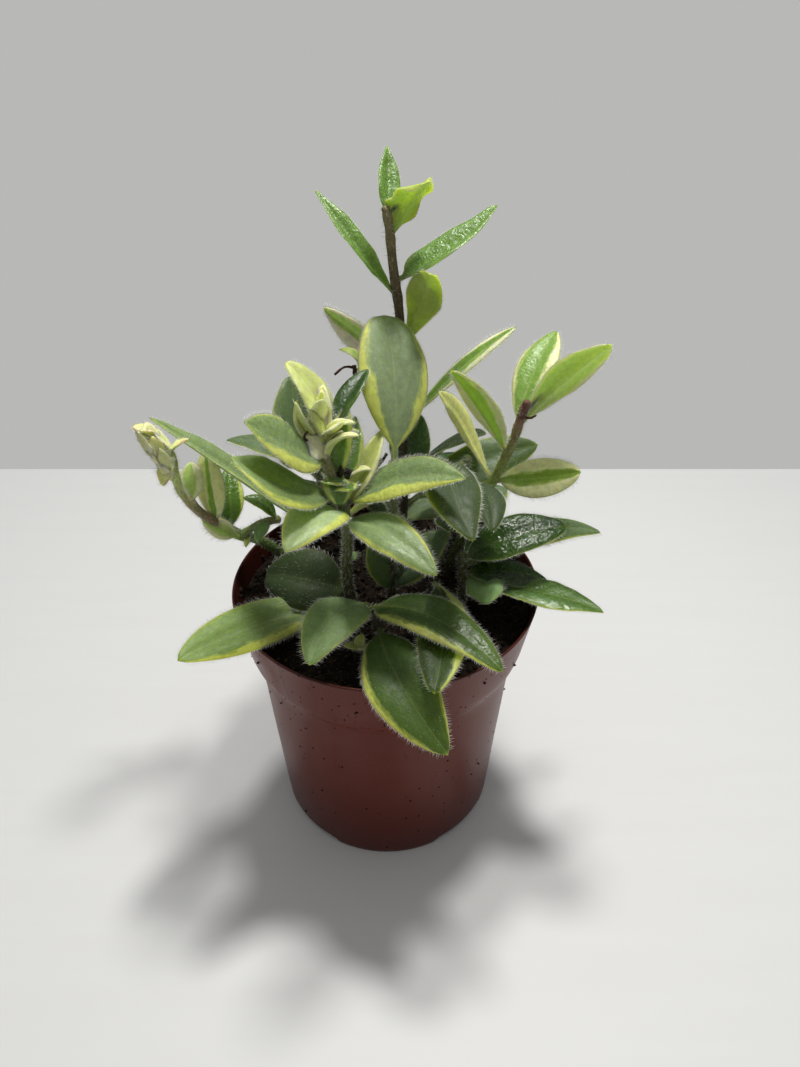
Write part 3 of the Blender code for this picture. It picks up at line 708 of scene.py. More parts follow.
FINISHES = {name: Finish(*row) for name, row in {
    "fresh": ((0.15, 0.27, 0.062), FRESH_GREEN, THIN, THIN, 0.62, 0.5, 0.3, 0.025, 0.5),
    "crinkled": (LIGHT_GREEN, LIME, THIN, THIN, 0.2, 0.1, 0.3, 0.07, 0.5),
    "half_rose": ((0.33, 0.46, 0.15), ROSE_CREAM, (0.95, 0.9, 0.6), (0.05, 0.2, 0.3), 0.2, 0.2,
        0.4),
    "oval": (MIST_GREEN, YELLOW, (0.5, 0.26, 0.06), (0.44, 0.22, 0.02), 0.15, 0.9, 0.3, 0.004,
        0.5),
    "band_lower": (GREY_GREEN, YELLOW, (0.36, 0.42, 0.16), (0.1, 0.14, 0.05), 0.65, 0.6, 0.3),
    "band_right": (GREY_GREEN, YELLOW, (0.03, 0.05, 0.03), (0.42, 0.46, 0.28), 0.7, 0.6, 0.3),
    "patch_lower": ((0.2, 0.275, 0.11), YELLOW, (0.04, 0.15, 0.06), NONE, 0.35, 0.4, 0.4),
    "front_left": ((0.34, 0.44, 0.22), YELLOW, (0.3, 0.26, 0.12), (0.03, 0.05, 0.12), 0.35, 0.6,
        0.4),
    "front_right": (GREY_GREEN, YELLOW, (0.02, 0.1, 0.18), (0.05, 0.14, 0.1), 0.4, 0.6, 0.6),
    "pale_grey": (GREY_GREEN, LIME, THIN, THIN, 0.25, 0.9, 0.3),
    "plain_dark": (DARK_GREEN, OLIVE, NONE, NONE, 0.7, 0.2, 0.1),
    "spear": (DARK_GREEN, DEEP_GREEN, NONE, (0.3, 0.3, 0.2), 0.6, 0.1, 0.1, 0.006, 0.4),
    "low_grey": ((0.2, 0.29, 0.125), LIME, THIN, THIN, 0.2, 0.8, 0.2, 0.01, 1.8),
    "low_yellow": ((0.19, 0.275, 0.088), YELLOW, (0.36, 0.3, 0.1), (0.03, 0.05, 0.05), 0.25, 0.6,
        1),
    "low_edge": (DEEP_GREEN, YELLOW, THIN, (0.06, 0.28, 0.12), 0.55, 0.4, 0.4),
    "low_front": (DEEP_GREEN, YELLOW, (0.02, 0.05, 0.12), (0.12, 0.18, 0.16), 0.28, 0.5, 0.3),
    "low_wide": (SHADE_GREEN, LIME, (0.5, 0.55, 0.2), THIN, 0.2, 0.5, 0.3, 0.01, 2.2),
    "low_dark": (SHADE_GREEN, OLIVE, NONE, NONE, 0.1, 0.5, 0.1, 0.01, 1.5),
    "hairy_green": ((0.23, 0.37, 0.15), LIME, THIN, THIN, 0.2, 0.6, 0.2, 0.012, 2.4),
    "glossy_light": ((0.08, 0.155, 0.036), LIME, NONE, THIN, 0.85, 0.3, 0.2, 0.02, 0.9),
    "blue": (BLUE_GREEN, LIME, THIN, (0.05, 0.08, 0.05), 0.3, 0.6, 0.2),
    "shaded": ((0.046, 0.07, 0.03), OLIVE, NONE, THIN, 0.15, 0.5, 0.2),
    "glossy": (DARK_GREEN, OLIVE, NONE, THIN, 1, 0.2, 0.1, 0.015),
    "cream_tip": (FRESH_GREEN, PALE_CREAM, (0.15, 0.22, 0.5), (0.22, 0.36, 0.8), 0.35, 0.3, 0.7),
    "cream_edge": (FRESH_GREEN, CREAM, (0.2, 0.26, 0.1), (0.3, 0.48, 0.26), 0.55, 0.6, 0.6),
    "cream_rim": ((0.42, 0.58, 0.14), PALE_CREAM, (0.1, 0.14, 0.14), (0.1, 0.12, 0.12), 0.3, 0.3,
        0.2),
    "cream_half": ((0.27, 0.43, 0.07), (0.86, 0.86, 0.56), (0.34, 0.44, 0.4), (0.9, 0.85, 0.7),
        0.3, 0.1, 0.2),
    "olive_striped": ((0.24, 0.35, 0.06), (0.89, 0.93, 0.5), (0.5, 0.66, 0.6), (0.5, 0.66, 0.6),
        0.3, 0.3, 0.5),
    "lime": ((0.6, 0.69, 0.24), LIME, NONE, NONE, 0.3, 0.2, 0.3),
    "pale_lime": ((0.84, 0.88, 0.34), YELLOW, NONE, NONE, 0.3, 0.2, 0.2),
    "bud": ((0.8, 0.85, 0.33), (0.88, 0.89, 0.52), (0.5, 0.6, 0.7), (0.5, 0.6, 0.7), 0.3, 0.2,
        0.4, 0.03, 1.6),
    "red_tipped": ((0.84, 0.87, 0.36), ROSE_BROWN, (0, 0, 0.5), (0, 0, 0.5), 0.2, 0.2, 0.3, 0.03,
        2.8),
    "wilted": ((0.89, 0.89, 0.62), ROSE_BROWN, (0, 0, 0.3), (0, 0, 0.3), 0.2, 0.2, 0.3, 0.04,
        0.8),
    "pale": (LIME, CREAM, (0.2, 0.3, 0.3), (0.2, 0.3, 0.3), 0.15, 0.3, 0.4, 0.02, 2),
    "fuzzy": ((0.62, 0.8, 0.23), (0.89, 0.93, 0.56), (0.4, 0.5, 0.6), (0.4, 0.5, 0.6), 0.1, 0.5,
        0.3, 0.01, 3),
    "dark_rib": ((0.22, 0.4, 0.06), (0.88, 0.93, 0.43), (0.7, 0.86, 0.8), (0.7, 0.86, 0.8), 0.2,
        0.4, 0.3, 0.01, 2.4),
    "side_lime": ((0.09, 0.18, 0.028), LIME, NONE, (0.15, 0.3, 0.2), 0.75, 0.3, 0.3),
    "streaked": ((0.15, 0.27, 0.07), LIME, (0.3, 0.36, 0.36), (0.3, 0.36, 0.36), 0.95, 0.4, 1,
        0.02, 1.3),
}.items()}
print(len(FINISHES), "finishes")

# %% [markdown]
# ## The stems and leaves in a table
# The rows repeat the routes and leaves of the CAD model, because a dressed piece has to stay
# where its solid is. A stem stands upright in the peat and then follows the points of its
# route. A leaf grows at a height on its stem and points to an azimuth (0 to the right, 90 to
# the back); it rises above level, has a length and width, arches up, rolls, folds along its
# midrib and bends sideways. The word names its finish. Two last numbers, where given, move
# its widest place (under 0.9 towards the foot) and blunt its tip (under 0.8).

# %% The table
Leaf = namedtuple("Leaf", "height azimuth rise length width arch roll fold bend finish "
                  "lean point", defaults=(0.92, 0.8))
Branch = namedtuple("Branch", "route foot_radius tip_radius leaves")
STEM_BOTTOM, PEAT_LEVEL = 80, 93
SHOOTS = {}


def add_branch(shoot, foot, foot_radius, tip_radius, route, rows):
    """Add a branch to a shoot. Its foot is its place in the peat, or None off another stem."""
    sunk = [(*foot, STEM_BOTTOM), (*foot, PEAT_LEVEL)] if foot else []
    leaves = [Leaf(*row) for row in rows]
    SHOOTS.setdefault(shoot, []).append(Branch(sunk + route, foot_radius, tip_radius, leaves))


add_branch("tall_shoot", (6, 12), 1.7, 1.2, [
    (6, 15, 122), (6, 18, 151), (5, 20, 183), (3, 19, 200), (2, 18, 211), (1, 17, 217)], [
    (214, 91, 51, 21, 8.5, -0.5, 31, 30, 0, "fresh", 0.75, 0.8),
    (208, -30, 55, 20, 15, 4, -19, 15, -3.5, "crinkled", 0.9, 0.85),
    (191, 157, 47, 38, 9.5, 1, -10, 35, -3, "fresh", 1, 0.85),
    (196, 20, 30, 37, 14.5, -1.5, 4, 30, 3, "fresh", 0.6, 0.55),
    (173, -57, 61, 33, 12, 5.5, -61, 10, 1.5, "crinkled", 1.35, 1),
    (169, 146, 23, 33, 11.5, 1.5, -89, 20, 0.5, "half_rose", 0.75, 0.7),
    (148, 12, 41, 48, 6.5, 1.5, 21, 15, -1, "cream_tip", 1.35, 0.65),
    (131, 36, 70, 22, 14.5, 2, 30, 10, 0, "plain_dark"),
    (126, 2, 37, 34, 16, 3, -20, 10, -6, "shaded", 1.35, 0.75),
    (119, 12, 22, 51, 15.5, 3, 39, 8, -2, "blue", 1.25, 0.7),
    (122, 48, 6, 34, 14, 3.5, 0, 8, 0, "plain_dark"),
])
add_branch("middle_shoot", (2, -4), 1.7, 1.3, [(3, -8, 121), (3, -13, 153)], [
    (153, 95, 48, 45, 21.5, 4, 15, 5, 0.5, "oval", 1.15, 0.4),
    (97, 90, 78, 31, 19, 4.5, 10, 10, 0, "blue"),
    (100, 5, 49, 29, 13, 3.5, 45, 10, 0, "blue"),
])
add_branch("front_shoot", (-11, -10), 1.9, 1.3, [
    (-12, -14, 112), (-11, -18, 134), (-13, -20, 148), (-16, -20, 158), (-18, -18, 165)], [
    (159, 140, 62, 28, 13.5, 3.5, 16, 15, 1.5, "lime", 1.05, 0.65),
    (164, 75, 65, 15, 7, 0, 0, 20, 0, "bud"),
    (164, -60, 75, 14, 7, 0.5, 0, 20, 0, "bud"),
    (165, -150, 63, 13, 5, -1.5, 0, 20, 0, "bud"),
    (165, -35, 35, 12, 5, -1, 0, 20, 0, "bud"),
    (161, 53, 38, 27, 9, 2.5, -8, 25, 2, "spear", 1.35, 0.85),
    (157, 222, 41, 33, 19, -0.5, -30, 10, -0.5, "band_lower", 1, 1),
    (147, 219, 36, 40, 17.5, -1, -24, 10, -4, "patch_lower", 1.35, 0.9),
    (152, 152, 4, 38, 13.5, 3.5, 5, 10, 0, "blue"),
    (135, -115, 19, 35, 15.5, 7, -6, 5, 0.5, "front_left", 1.05, 0.75),
    (135, -48, 4, 39, 12.5, 6.5, 17, 5, -0.5, "front_right", 0.95, 0.7),
    (141, -23, 27, 42, 15, 2, 22, 10, -4, "band_right", 0.85, 0.9),
    (148, -60, 27, 11, 8, 0.5, 0, 10, 0, "streaked"),
    (148, -110, 40, 11, 7, 0.5, 0, 10, 0, "streaked"),
    (148, 68, 53, 22, 8, 2, 51, 20, 0, "streaked"),
    (156, -31, 49, 17, 5, 3.5, 0, 20, 0, "bud"),
    (141, 43, 52, 26, 8, 1.5, 25, 30, 1, "pale"),
    (98, -144, 7, 61, 17.5, -2, -18, 10, 4, "low_yellow", 1.05, 0.65),
    (103, 164, 1, 30, 20.5, 6, -41, 5, 0.5, "low_dark", 0.75, 0.55),
])
add_branch("front_shoot", None, 1.0, 0.8, [(-12, -13, 97), (-19, -13, 99), (-25, -12, 100)], [
    (99.9, 175, 10, 6, 3.5, 0.5, 0, 15, 0, "pale"),
    (99.9, 120, 50, 5, 3.5, 0.5, 0, 15, 0, "pale"),
    (99.5, 20, 60, 6, 4, 0.5, 0, 15, 0, "pale"),
])
add_branch("front_low_shoot", (1, -26), 1.7, 1.4, [(-6, -19, 103)], [
    (103, -114, 10, 37, 17.5, 5.5, -3, 5, 2, "low_grey", 0.75, 0.65),
    (102, -40, 6, 52, 17, 8, 3, 8, -1, "low_edge", 0.75, 0.65),
    (97, -65, -11, 48, 20.5, 12, 17, 5, 3, "low_front", 1, 0.7),
])
add_branch("left_shoot", (-28, 4), 1.7, 1.2, [(-28, 5, 110), (-26, 5, 127)], [
    (119, 176, 39, 60, 12, 0, 5, 35, 0, "pale_grey"),
])
add_branch("right_low_shoot", (26, -6), 1.7, 1.3, [(26, -8, 105), (25, -8, 116)], [
    (113, 4, 20, 35, 15, 5, 22, 10, 0, "glossy", 0.9, 0.5),
    (110, 20, 2, 52, 11.5, 7.5, 17, 10, -1.5, "blue", 0.8, 0.75),
    (108, 4, -9, 29, 14.5, 2.5, 3, 10, 1, "plain_dark", 0.8, 0.9),
    (101, -23, 6, 47, 16.5, 3.5, -8, 8, 0.5, "glossy_light", 1.3, 1),
    (106, -71, 10, 19, 12, -0.5, 13, 10, -3.5, "hairy_green", 0.95, 0.75),
    (110, 50, -4, 34, 15, 4, 0, 8, 0, "plain_dark"),
])
add_branch("right_back_shoot", (16, 0), 1.7, 1.3, [(20, 1, 115), (24, 1, 135), (26, 1, 147)], [
    (144, -91, 1, 42, 16, 5.5, -3, 5, 5.5, "shaded", 1.1, 0.8),
    (136, -75, 4, 29, 12, 5.5, -16, 5, -1.5, "shaded", 0.9, 0.7),
    (125, -95, 16, 17, 9.5, 1.5, 17, 10, 0, "shaded"),
    (97.5, -92, 8, 61, 16, 4.5, 6, 14, -3.5, "low_wide", 1.35, 0.65),
])
add_branch("right_tall_shoot", (22, 12), 1.8, 1.3, [
    (29, 11, 116), (35, 10, 131), (39, 8, 143), (41, 7, 150), (43, 6, 162)], [
    (153, 60, 40, 36, 13.5, 4.5, -10, 10, 0.5, "cream_edge", 1.05, 0.8),
    (154, -10, 50, 38, 16, 3.5, -59, 10, -2, "cream_rim", 1.2, 0.8),
    (144, 190, 57, 36, 12.5, 0, 43, 20, -1, "cream_half", 1.1, 0.7),
    (132, 188, 61, 39, 10.5, -1.5, -32, 20, 3.5, "pale_lime", 1.35, 0.8),
    (133, -25, 20, 30, 13, -2, 56, 10, 0.5, "olive_striped", 0.95, 0.55),
    (112, 60, 0, 32, 14, 4, 0, 8, 0, "blue"),
])
add_branch("trailing_shoot", (-34, 16), 1.9, 1.2, [
    (-39, 14, 101), (-45, 10, 109), (-50, 8, 112), (-60, 4, 123), (-63, 2, 129), (-65, 0, 135),
    (-65, -2, 142), (-65, -4, 151), (-68, -6, 155), (-70, -6, 158)], [
    (119, 104, 70, 26, 12, 1.5, -35, 10, 1, "dark_rib"),
    (115, 94, 51, 22, 9.5, 2, 20, 10, 0, "side_lime"),
    (129, 95, 44, 14, 10, 1, -18, 10, 0.5, "fuzzy"),
    (113, 179, 32, 14, 6, 1, -8, 10, 0, "fuzzy"),
    (157, 170, 35, 6, 6, 1, 0, 20, 0, "red_tipped"),
    (157, -100, 50, 6, 5, 0.5, 0, 20, 0, "red_tipped"),
    (150, 195, 60, 12, 7, 1, 0, 25, 0, "bud"),
    (147, 160, 55, 15, 4.5, 1, 0, 30, 0, "bud"),
    (151, 5, 35, 8, 4, 0.5, 0, 20, 0, "red_tipped"),
    (149, -115, -50, 9, 6, 0.5, 0, 20, 0, "red_tipped"),
])
add_branch("trailing_shoot", None, 1.3, 1.1, [(-50, 8, 112), (-43, 9, 116), (-36, 9, 118)], [
    (117.5, 175, 40, 13, 8, 3, 0, 10, 0, "side_lime"),
    (117, -115, -25, 9, 5, 1, 0, 10, 0, "hairy_green"),
])
add_branch("back_shoot", (-13, 20), 1.7, 1.2, [(-20, 18, 120), (-25, 15, 140)], [
    (136, 136, 74, 30, 21, 4, -11, 8, -3.5, "blue", 0.6, 0.6),
    (112, 145, 5, 30, 16, 3.5, 0, 8, 0, "blue"),
    (124, 98, 0, 34, 15, 4, 0, 8, 0, "blue"),
])
add_branch("back_low_shoot", (4, 25), 1.7, 1.2, [(4, 26, 104), (4, 27, 112)], [
    (110, 78, -6, 41, 16, 5.5, 0, 8, 0, "blue"),
    (110, 140, -2, 34, 15, 5, 0, 8, 0, "plain_dark"),
    (104, 20, 0, 36, 16, 4.5, 0, 8, 0, "low_grey"),
    (102, 110, -5, 34, 15, 4, 0, 8, 0, "blue"),
    (112, 110, 60, 16, 8, 1, 0, 10, 0, "glossy_light"),
    (112, -120, 60, 14, 8, 1, 0, 10, 0, "blue"),
])
add_branch("sprout", (-9, -30), 0.8, 0.7, [(-8, -30, 95)], [
    (94.6, 190, 25, 5, 3.5, 0.5, 0, 10, 0, "pale"),
    (94.8, 60, 50, 5, 4, 0.5, 0, 10, 0, "pale"),
    (94.8, -30, 20, 5, 3.5, 0.5, 0, 10, 0, "pale"),
])
print(len(SHOOTS), "shoots with", sum(len(b.leaves) for grown in SHOOTS.values() for b in grown),
      "leaves")

# %% [markdown]
# ## Small things that the CAD model leaves out
# Some parts are too fine for solids: half-open leaflets in the two growing tips, a wilted
# leaf, dried twigs and the stub of a cut stem. Each one starts at a point on its shoot, so it
# is carried by something. A dry twig is a crooked tube along its own points.

# %% The small things
Twig = namedtuple("Twig", "route radius colour")
DRY = (0.020, 0.010, 0.007)
RED_BROWN = (0.060, 0.016, 0.008)
CUT_WOOD = (0.150, 0.065, 0.040)
LEAFLETS = {}
TWIGS = {}


def add_leaflets(shoot, rows):
    """Add leaflets to a shoot, each from its place and a leaf's values from azimuth on."""
    LEAFLETS[shoot] = [(place, Leaf(0, *values)) for place, *values in rows]


def add_twig(shoot, radius, colour, *route):
    TWIGS.setdefault(shoot, []).append(Twig(route, radius, colour))


add_leaflets("front_shoot", [
    ((-16.5, -20.5, 160), 180, 40, 8.5, 8, 1, -45, 10, 0, "wilted", 0.6, 0.9),
    ((-17, -19, 162), 80, 76, 16, 7.5, -1.5, 0, 35, 0, "bud"),
    ((-17, -19, 163), 160, 64, 14, 4.5, -4, 20, 30, 0, "bud"),
    ((-15, -19, 162), -5, 42, 11, 4, 3.5, 10, 30, 0, "bud"),
    ((-14, -20, 156), 15, 52, 13, 4, 5, -20, 20, 0, "pale"),
    ((-12, -20, 153), 60, 74, 20, 8.5, 2, 0, 15, 0, "streaked"),
    ((-12, -18, 152), 50, 55, 9, 4.5, 2, 0, 20, 0, "hairy_green"),
    ((-11, -18, 149), 10, 25, 9, 4, 2, 0, 20, 0, "bud"),
    ((-14.5, -20.5, 152.5), -72, -34, 9, 9.5, 1.5, -15, 12, 0, "streaked", 0.8, 0.6),
    ((-11, -17, 136), 12, 25, 17, 5, 1.5, 0, 20, 0, "pale"),
    ((-11, -12, 118), -70, 20, 6, 4, 1, 0, 15, 0, "hairy_green"),
])
add_leaflets("tall_shoot", [
    ((-8, 12, 171.5), 172, 46, 8, 3.5, 3, -20, 25, 0, "cream_rim"),
])
add_leaflets("trailing_shoot", [
    ((-69, -6.5, 153), 200, 68, 9, 6, -1.5, 0, 25, 0, "red_tipped"),
    ((-69, -7, 152), -130, 72, 10, 6.5, -1.5, 0, 25, 0, "bud"),
    ((-68, -7, 151), -70, 76, 9, 6, -1.5, 0, 25, 0, "red_tipped"),
    ((-67, -6, 148), -150, 66, 9, 6.5, -1.5, 0, 25, 0, "bud"),
    ((-66, -6, 146), -90, 74, 10, 6, -1.5, 0, 25, 0, "bud"),
    ((-65.5, -5, 143), -120, 66, 9, 6, -1.5, 0, 25, 0, "bud"),
    ((-69, -6, 155), 120, 70, 7, 5.5, 1, 0, 25, 0, "bud"),
    ((-51, 6, 113), 190, 38, 13, 7, 1.5, -60, 8, 0, "fuzzy", 0.92, 0.6),
    ((-47, 9, 111), -100, -20, 5, 2.5, 0.5, 0, 15, 0, "pale"),
])
add_twig("front_shoot", 0.45, RED_BROWN, (-20, -20.5, 163.8), (-21.2, -21.5, 165.5),
         (-21, -22, 167), (-20.2, -22, 168))
add_twig("front_shoot", 1.0, DRY, (-13.5, -20, 151), (-12, -21, 154), (-11.2, -21, 157))
add_twig("front_shoot", 0.9, DRY, (-13.5, -20, 150), (-10.5, -21, 152), (-9, -20.5, 155))
add_twig("front_shoot", 0.6, DRY, (-12, -18, 151), (-10.5, -18.5, 153), (-11, -17, 155.5))
add_twig("front_shoot", 0.5, DRY, (-12, -17, 146), (-6, -14, 148), (-3, -9, 148))
add_twig("front_shoot", 0.8, DRY, (-4, -10, 148), (-2, -8, 148.5), (-1, -7, 151))
add_twig("front_shoot", 0.7, DRY, (-3, -9, 148), (-1, -7, 149), (1, -6, 152))
add_twig("tall_shoot", 0.5, RED_BROWN, (5.5, 17, 164), (-3, 14, 168), (-8.5, 12, 171.5),
         (-11.8, 10.5, 172.6), (-14.8, 9, 170.8))
add_twig("tall_shoot", 0.8, RED_BROWN, (-9, 12, 172.6), (-8.8, 11.5, 171), (-8.8, 11, 169))
add_twig("right_tall_shoot", 1.5, CUT_WOOD, (42.6, 5.8, 158.5), (43.2, 5.4, 161),
         (43.6, 5.2, 164))
add_twig("right_tall_shoot", 0.45, RED_BROWN, (43, 6, 158), (45, 4.5, 158.5), (46.5, 3.5, 160))
print(sum(map(len, LEAFLETS.values())), "leaflets,", sum(map(len, TWIGS.values())), "twigs")

# %% [markdown]
# ## One leaf
# A blade follows a curved midrib. Across it, the two halves fold up from the midrib, bulge
# a little, and wave at the margin. A row of points runs round the blade's thickness, so the
# leaf is a closed body with a rounded margin: a paper-thin sheet would look flat here, since
# these leaves are nearly a millimetre thick. At its foot the blade narrows to a round stalk.

# %% The shape of a blade
STALK_SHARE = 0.10
STALK_HALF_WIDTH = 0.9
ROUND_FOOT = 0.68         # how full the blade is just past its stalk; less is rounder
BULGE = 0.40              # the halves of a blade are pillowed and their margins turn down
LUMP_SPACING = 4
LUMP_HEIGHT = 0.22
RIB_WIDTH = 0.7
RIB_GROOVE = 0.28         # on top
RIB_RIDGE = 0.22          # underneath


def eased(share, start, length):
    """A straight rise from 0 to 1 that begins at a share and takes a length."""
    return min(1.0, max(0.0, (share - start) / length))


def half_width(share, leaf):
    """Half the leaf's width at a share of its length: a stalk, then a pointed oval."""
    if share <= STALK_SHARE:
        return STALK_HALF_WIDTH
    along = (share - STALK_SHARE) / (1 - STALK_SHARE)
    power = ROUND_FOOT + (leaf.point - ROUND_FOOT) * along
    oval = 0.5 * leaf.width * max(sin(pi * along ** leaf.lean), 0) ** power
    return max(STALK_HALF_WIDTH * (1 - along), oval)


class Blade:
    """The surface of one leaf, as a function of the share along it and the side (-1 to 1)."""

    def __init__(self, leaf, stem_point, dice):
        azimuth, rise, roll = radians(leaf.azimuth), radians(leaf.rise), radians(leaf.roll)
        along = Vector((cos(rise) * cos(azimuth), cos(rise) * sin(azimuth), sin(rise)))
        up = Vector((-sin(rise) * cos(azimuth), -sin(rise) * sin(azimuth), cos(rise)))
        right = along.cross(up)
        self.up = up * cos(roll) + right * sin(roll)
        right = right * cos(roll) - up * sin(roll)
        self.foot = stem_point - along * STALK_HALF_WIDTH
        self.tip = stem_point + along * leaf.length
        self.control = ((self.foot + self.tip) / 2 + self.up * 2 * leaf.arch
                        + right * 2 * leaf.bend)
        self.leaf = leaf
        self.finish = FINISHES[leaf.finish]
        self.fold = radians(leaf.fold)
        self.seed = dice.uniform(0, 90)
        self.waves = dice.uniform(2.0, 3.4)

    def frame(self, share):
        """The midrib's point at a share, and the directions ahead, out and across."""
        t = share
        middle = ((1 - t) ** 2 * self.foot + 2 * t * (1 - t) * self.control
                  + t ** 2 * self.tip)
        ahead = ((1 - t) * (self.control - self.foot)
                 + t * (self.tip - self.control)).normalized()
        out = (self.up - ahead * self.up.dot(ahead)).normalized()
        return middle, ahead, out, ahead.cross(out)

    def thickness(self, share, side):
        """Half the thickness: round at the stalk, thin and rounded at the margin."""
        stalk = max(0.0, 1 - share / (1.6 * STALK_SHARE)) ** 1.5
        middle = 0.46 + 0.40 * stalk - 0.12 * share
        return middle * sqrt(max(0.0, 1 - abs(side) ** 5))

    def at(self, share, side, face):
        """A point of the blade; face is +1 on top, -1 underneath."""
        middle, ahead, out, across = self.frame(share)
        width = half_width(share, self.leaf)
        open_share = min(1.0, max(0.0, (share - STALK_SHARE) * 6))
        lean = abs(side)
        place = middle + (across * side * cos(self.fold) + out * lean * sin(self.fold)) * width
        bulge = BULGE * (lean - 1.22 * side * side) * width * open_share
        ripple = sin(2 * pi * self.waves * share + self.seed + (1.9 if side > 0 else 0))
        ripple *= self.finish.wave * self.leaf.width * lean ** 3 * open_share
        spot = (side * width / LUMP_SPACING, share * self.leaf.length / LUMP_SPACING, self.seed)
        lumps = noise.noise(Vector(spot)) * LUMP_HEIGHT * lean * open_share
        rib = exp(-(side * width / RIB_WIDTH) ** 2) * open_share * (1 - share)
        half = self.thickness(share, side) + (RIB_RIDGE * rib if face < 0 else 0)
        return place + out * (bulge + ripple + lumps - RIB_GROOVE * rib + face * half)


# %% [markdown]
# The mesh is a grid of stations along the blade and points across it, closer together near
# the margin, where the surface turns. Small leaflets get fewer of both. The colours are
# marked at the points, because a procedural texture can't know where one leaf ends: near
# its foot a leaf takes on its stalk's colour.

# %% Draw a blade into a heap
ACROSS = [-1, -0.975, -0.90, -0.78, -0.62, -0.43, -0.22, 0,
          0.22, 0.43, 0.62, 0.78, 0.90, 0.975, 1]
LONG_LEAF, SHORT_LEAF = 20, 10
UPPER, UNDER, STEM = 0, 1, 2    # the skins of a shoot


def leaf_marks(blade, share, side, stalk):
    """What the leaf materials read at one point."""
    finish = blade.finish
    widths = finish.right if side > 0 else finish.left
    if side == 0:
        widths = [(a + b) / 2 for a, b in zip(finish.left, finish.right)]
    t = eased(share, STALK_SHARE, 1 - STALK_SHARE)
    band = (widths[0] * (1 - 2 * t) + widths[1] * 2 * t if t < 0.5
            else widths[1] * (2 - 2 * t) + widths[2] * (2 * t - 1))
    turn = eased(share, 0.05, 0.14)
    ground = [s + (g - s) * turn for s, g in zip(stalk, finish.ground)]
    border = [s + (g - s) * turn for s, g in zip(stalk, finish.border)]
    width = half_width(share, blade.leaf)
    return {"ground": ground, "border": border,
            "plan": (side * width, share * blade.leaf.length, blade.seed),
            "edge": (abs(side), 1 - band, share),
            "look": (finish.shine, finish.speckle, finish.streak)}


def draw_blade(heap, blade, stalk):
    """A closed body: rings of points round the blade, closed at the stalk and the tip."""
    stations = 40 if blade.leaf.length > LONG_LEAF else 16
    across = ACROSS if blade.leaf.length > SHORT_LEAF else ACROSS[::2]
    rows = []
    for i in range(stations):
        share = (i / stations) ** 1.08
        row = []
        for face, sides in ((1, across), (-1, across[-2:0:-1])):
            for side in sides:
                row.append(heap.point(blade.at(share, side, face),
                                      **leaf_marks(blade, share, side, stalk)))
        rows.append(row)
    tip = heap.point(blade.tip, **leaf_marks(blade, 1.0, 0, stalk))
    heap.face(rows[0], UNDER)
    for lower, upper in zip(rows, rows[1:] + [None]):
        for k in range(len(lower)):
            after = (k + 1) % len(lower)
            ends = (upper[k], upper[after]) if upper else (tip,)
            heap.face((lower[after], lower[k], *ends), UPPER if k < len(across) - 1 else UNDER)


# %% [markdown]
# ## Stems
# A stem is a tube along a smooth curve, slightly swollen where leaves sit, brown and woody
# low down and green to pinkish above. Its colour comes from a few stops by height.

# %% The shape of a stem
STEM_SIDES = 16
TWIG_SIDES = 8
STEM_STEPS = 3            # in each span of the CAD's route
FINE_STEPS = 4            # in each of these
KNOT_SWELL = 0.16
KNOT_LENGTH = 1.5


def smooth_route(points, steps):
    """A smooth curve through the points; its first span stays straight, as in the peat."""
    knots = [Vector(p) for p in points]
    knots = [2 * knots[0] - knots[1]] + knots + [2 * knots[-1] - knots[-2]]
    route = [knots[1]]
    for i in range(1, len(knots) - 2):
        before, start, end, after = knots[i - 1:i + 3]
        for k in range(1, steps + 1):
            t = k / steps
            if i == 1:
                route.append(start.lerp(end, t))
                continue
            route.append(0.5 * (2 * start + (end - before) * t
                                + (2 * before - 5 * start + 4 * end - after) * t ** 2
                                + (3 * start - before - 3 * end + after) * t ** 3))
    return route


def point_at(route, height):
    for lower, upper in zip(route, route[1:]):
        if lower.z <= height <= upper.z:
            return lower.lerp(upper, (height - lower.z) / (upper.z - lower.z))
    return route[-1]


def colour_at(stops, height):
    """Blend (height, colour) stops."""
    if height <= stops[0][0]:
        return stops[0][1]
    for (low, first), (high, second) in zip(stops, stops[1:]):
        if height <= high:
            t = (height - low) / (high - low)
            return tuple(a + (b - a) * t for a, b in zip(first, second))
    return stops[-1][1]


def way_ahead(route, i):
    """The direction of a route at its point i."""
    return (route[min(i + 1, len(route) - 1)] - route[max(i - 1, 0)]).normalized()


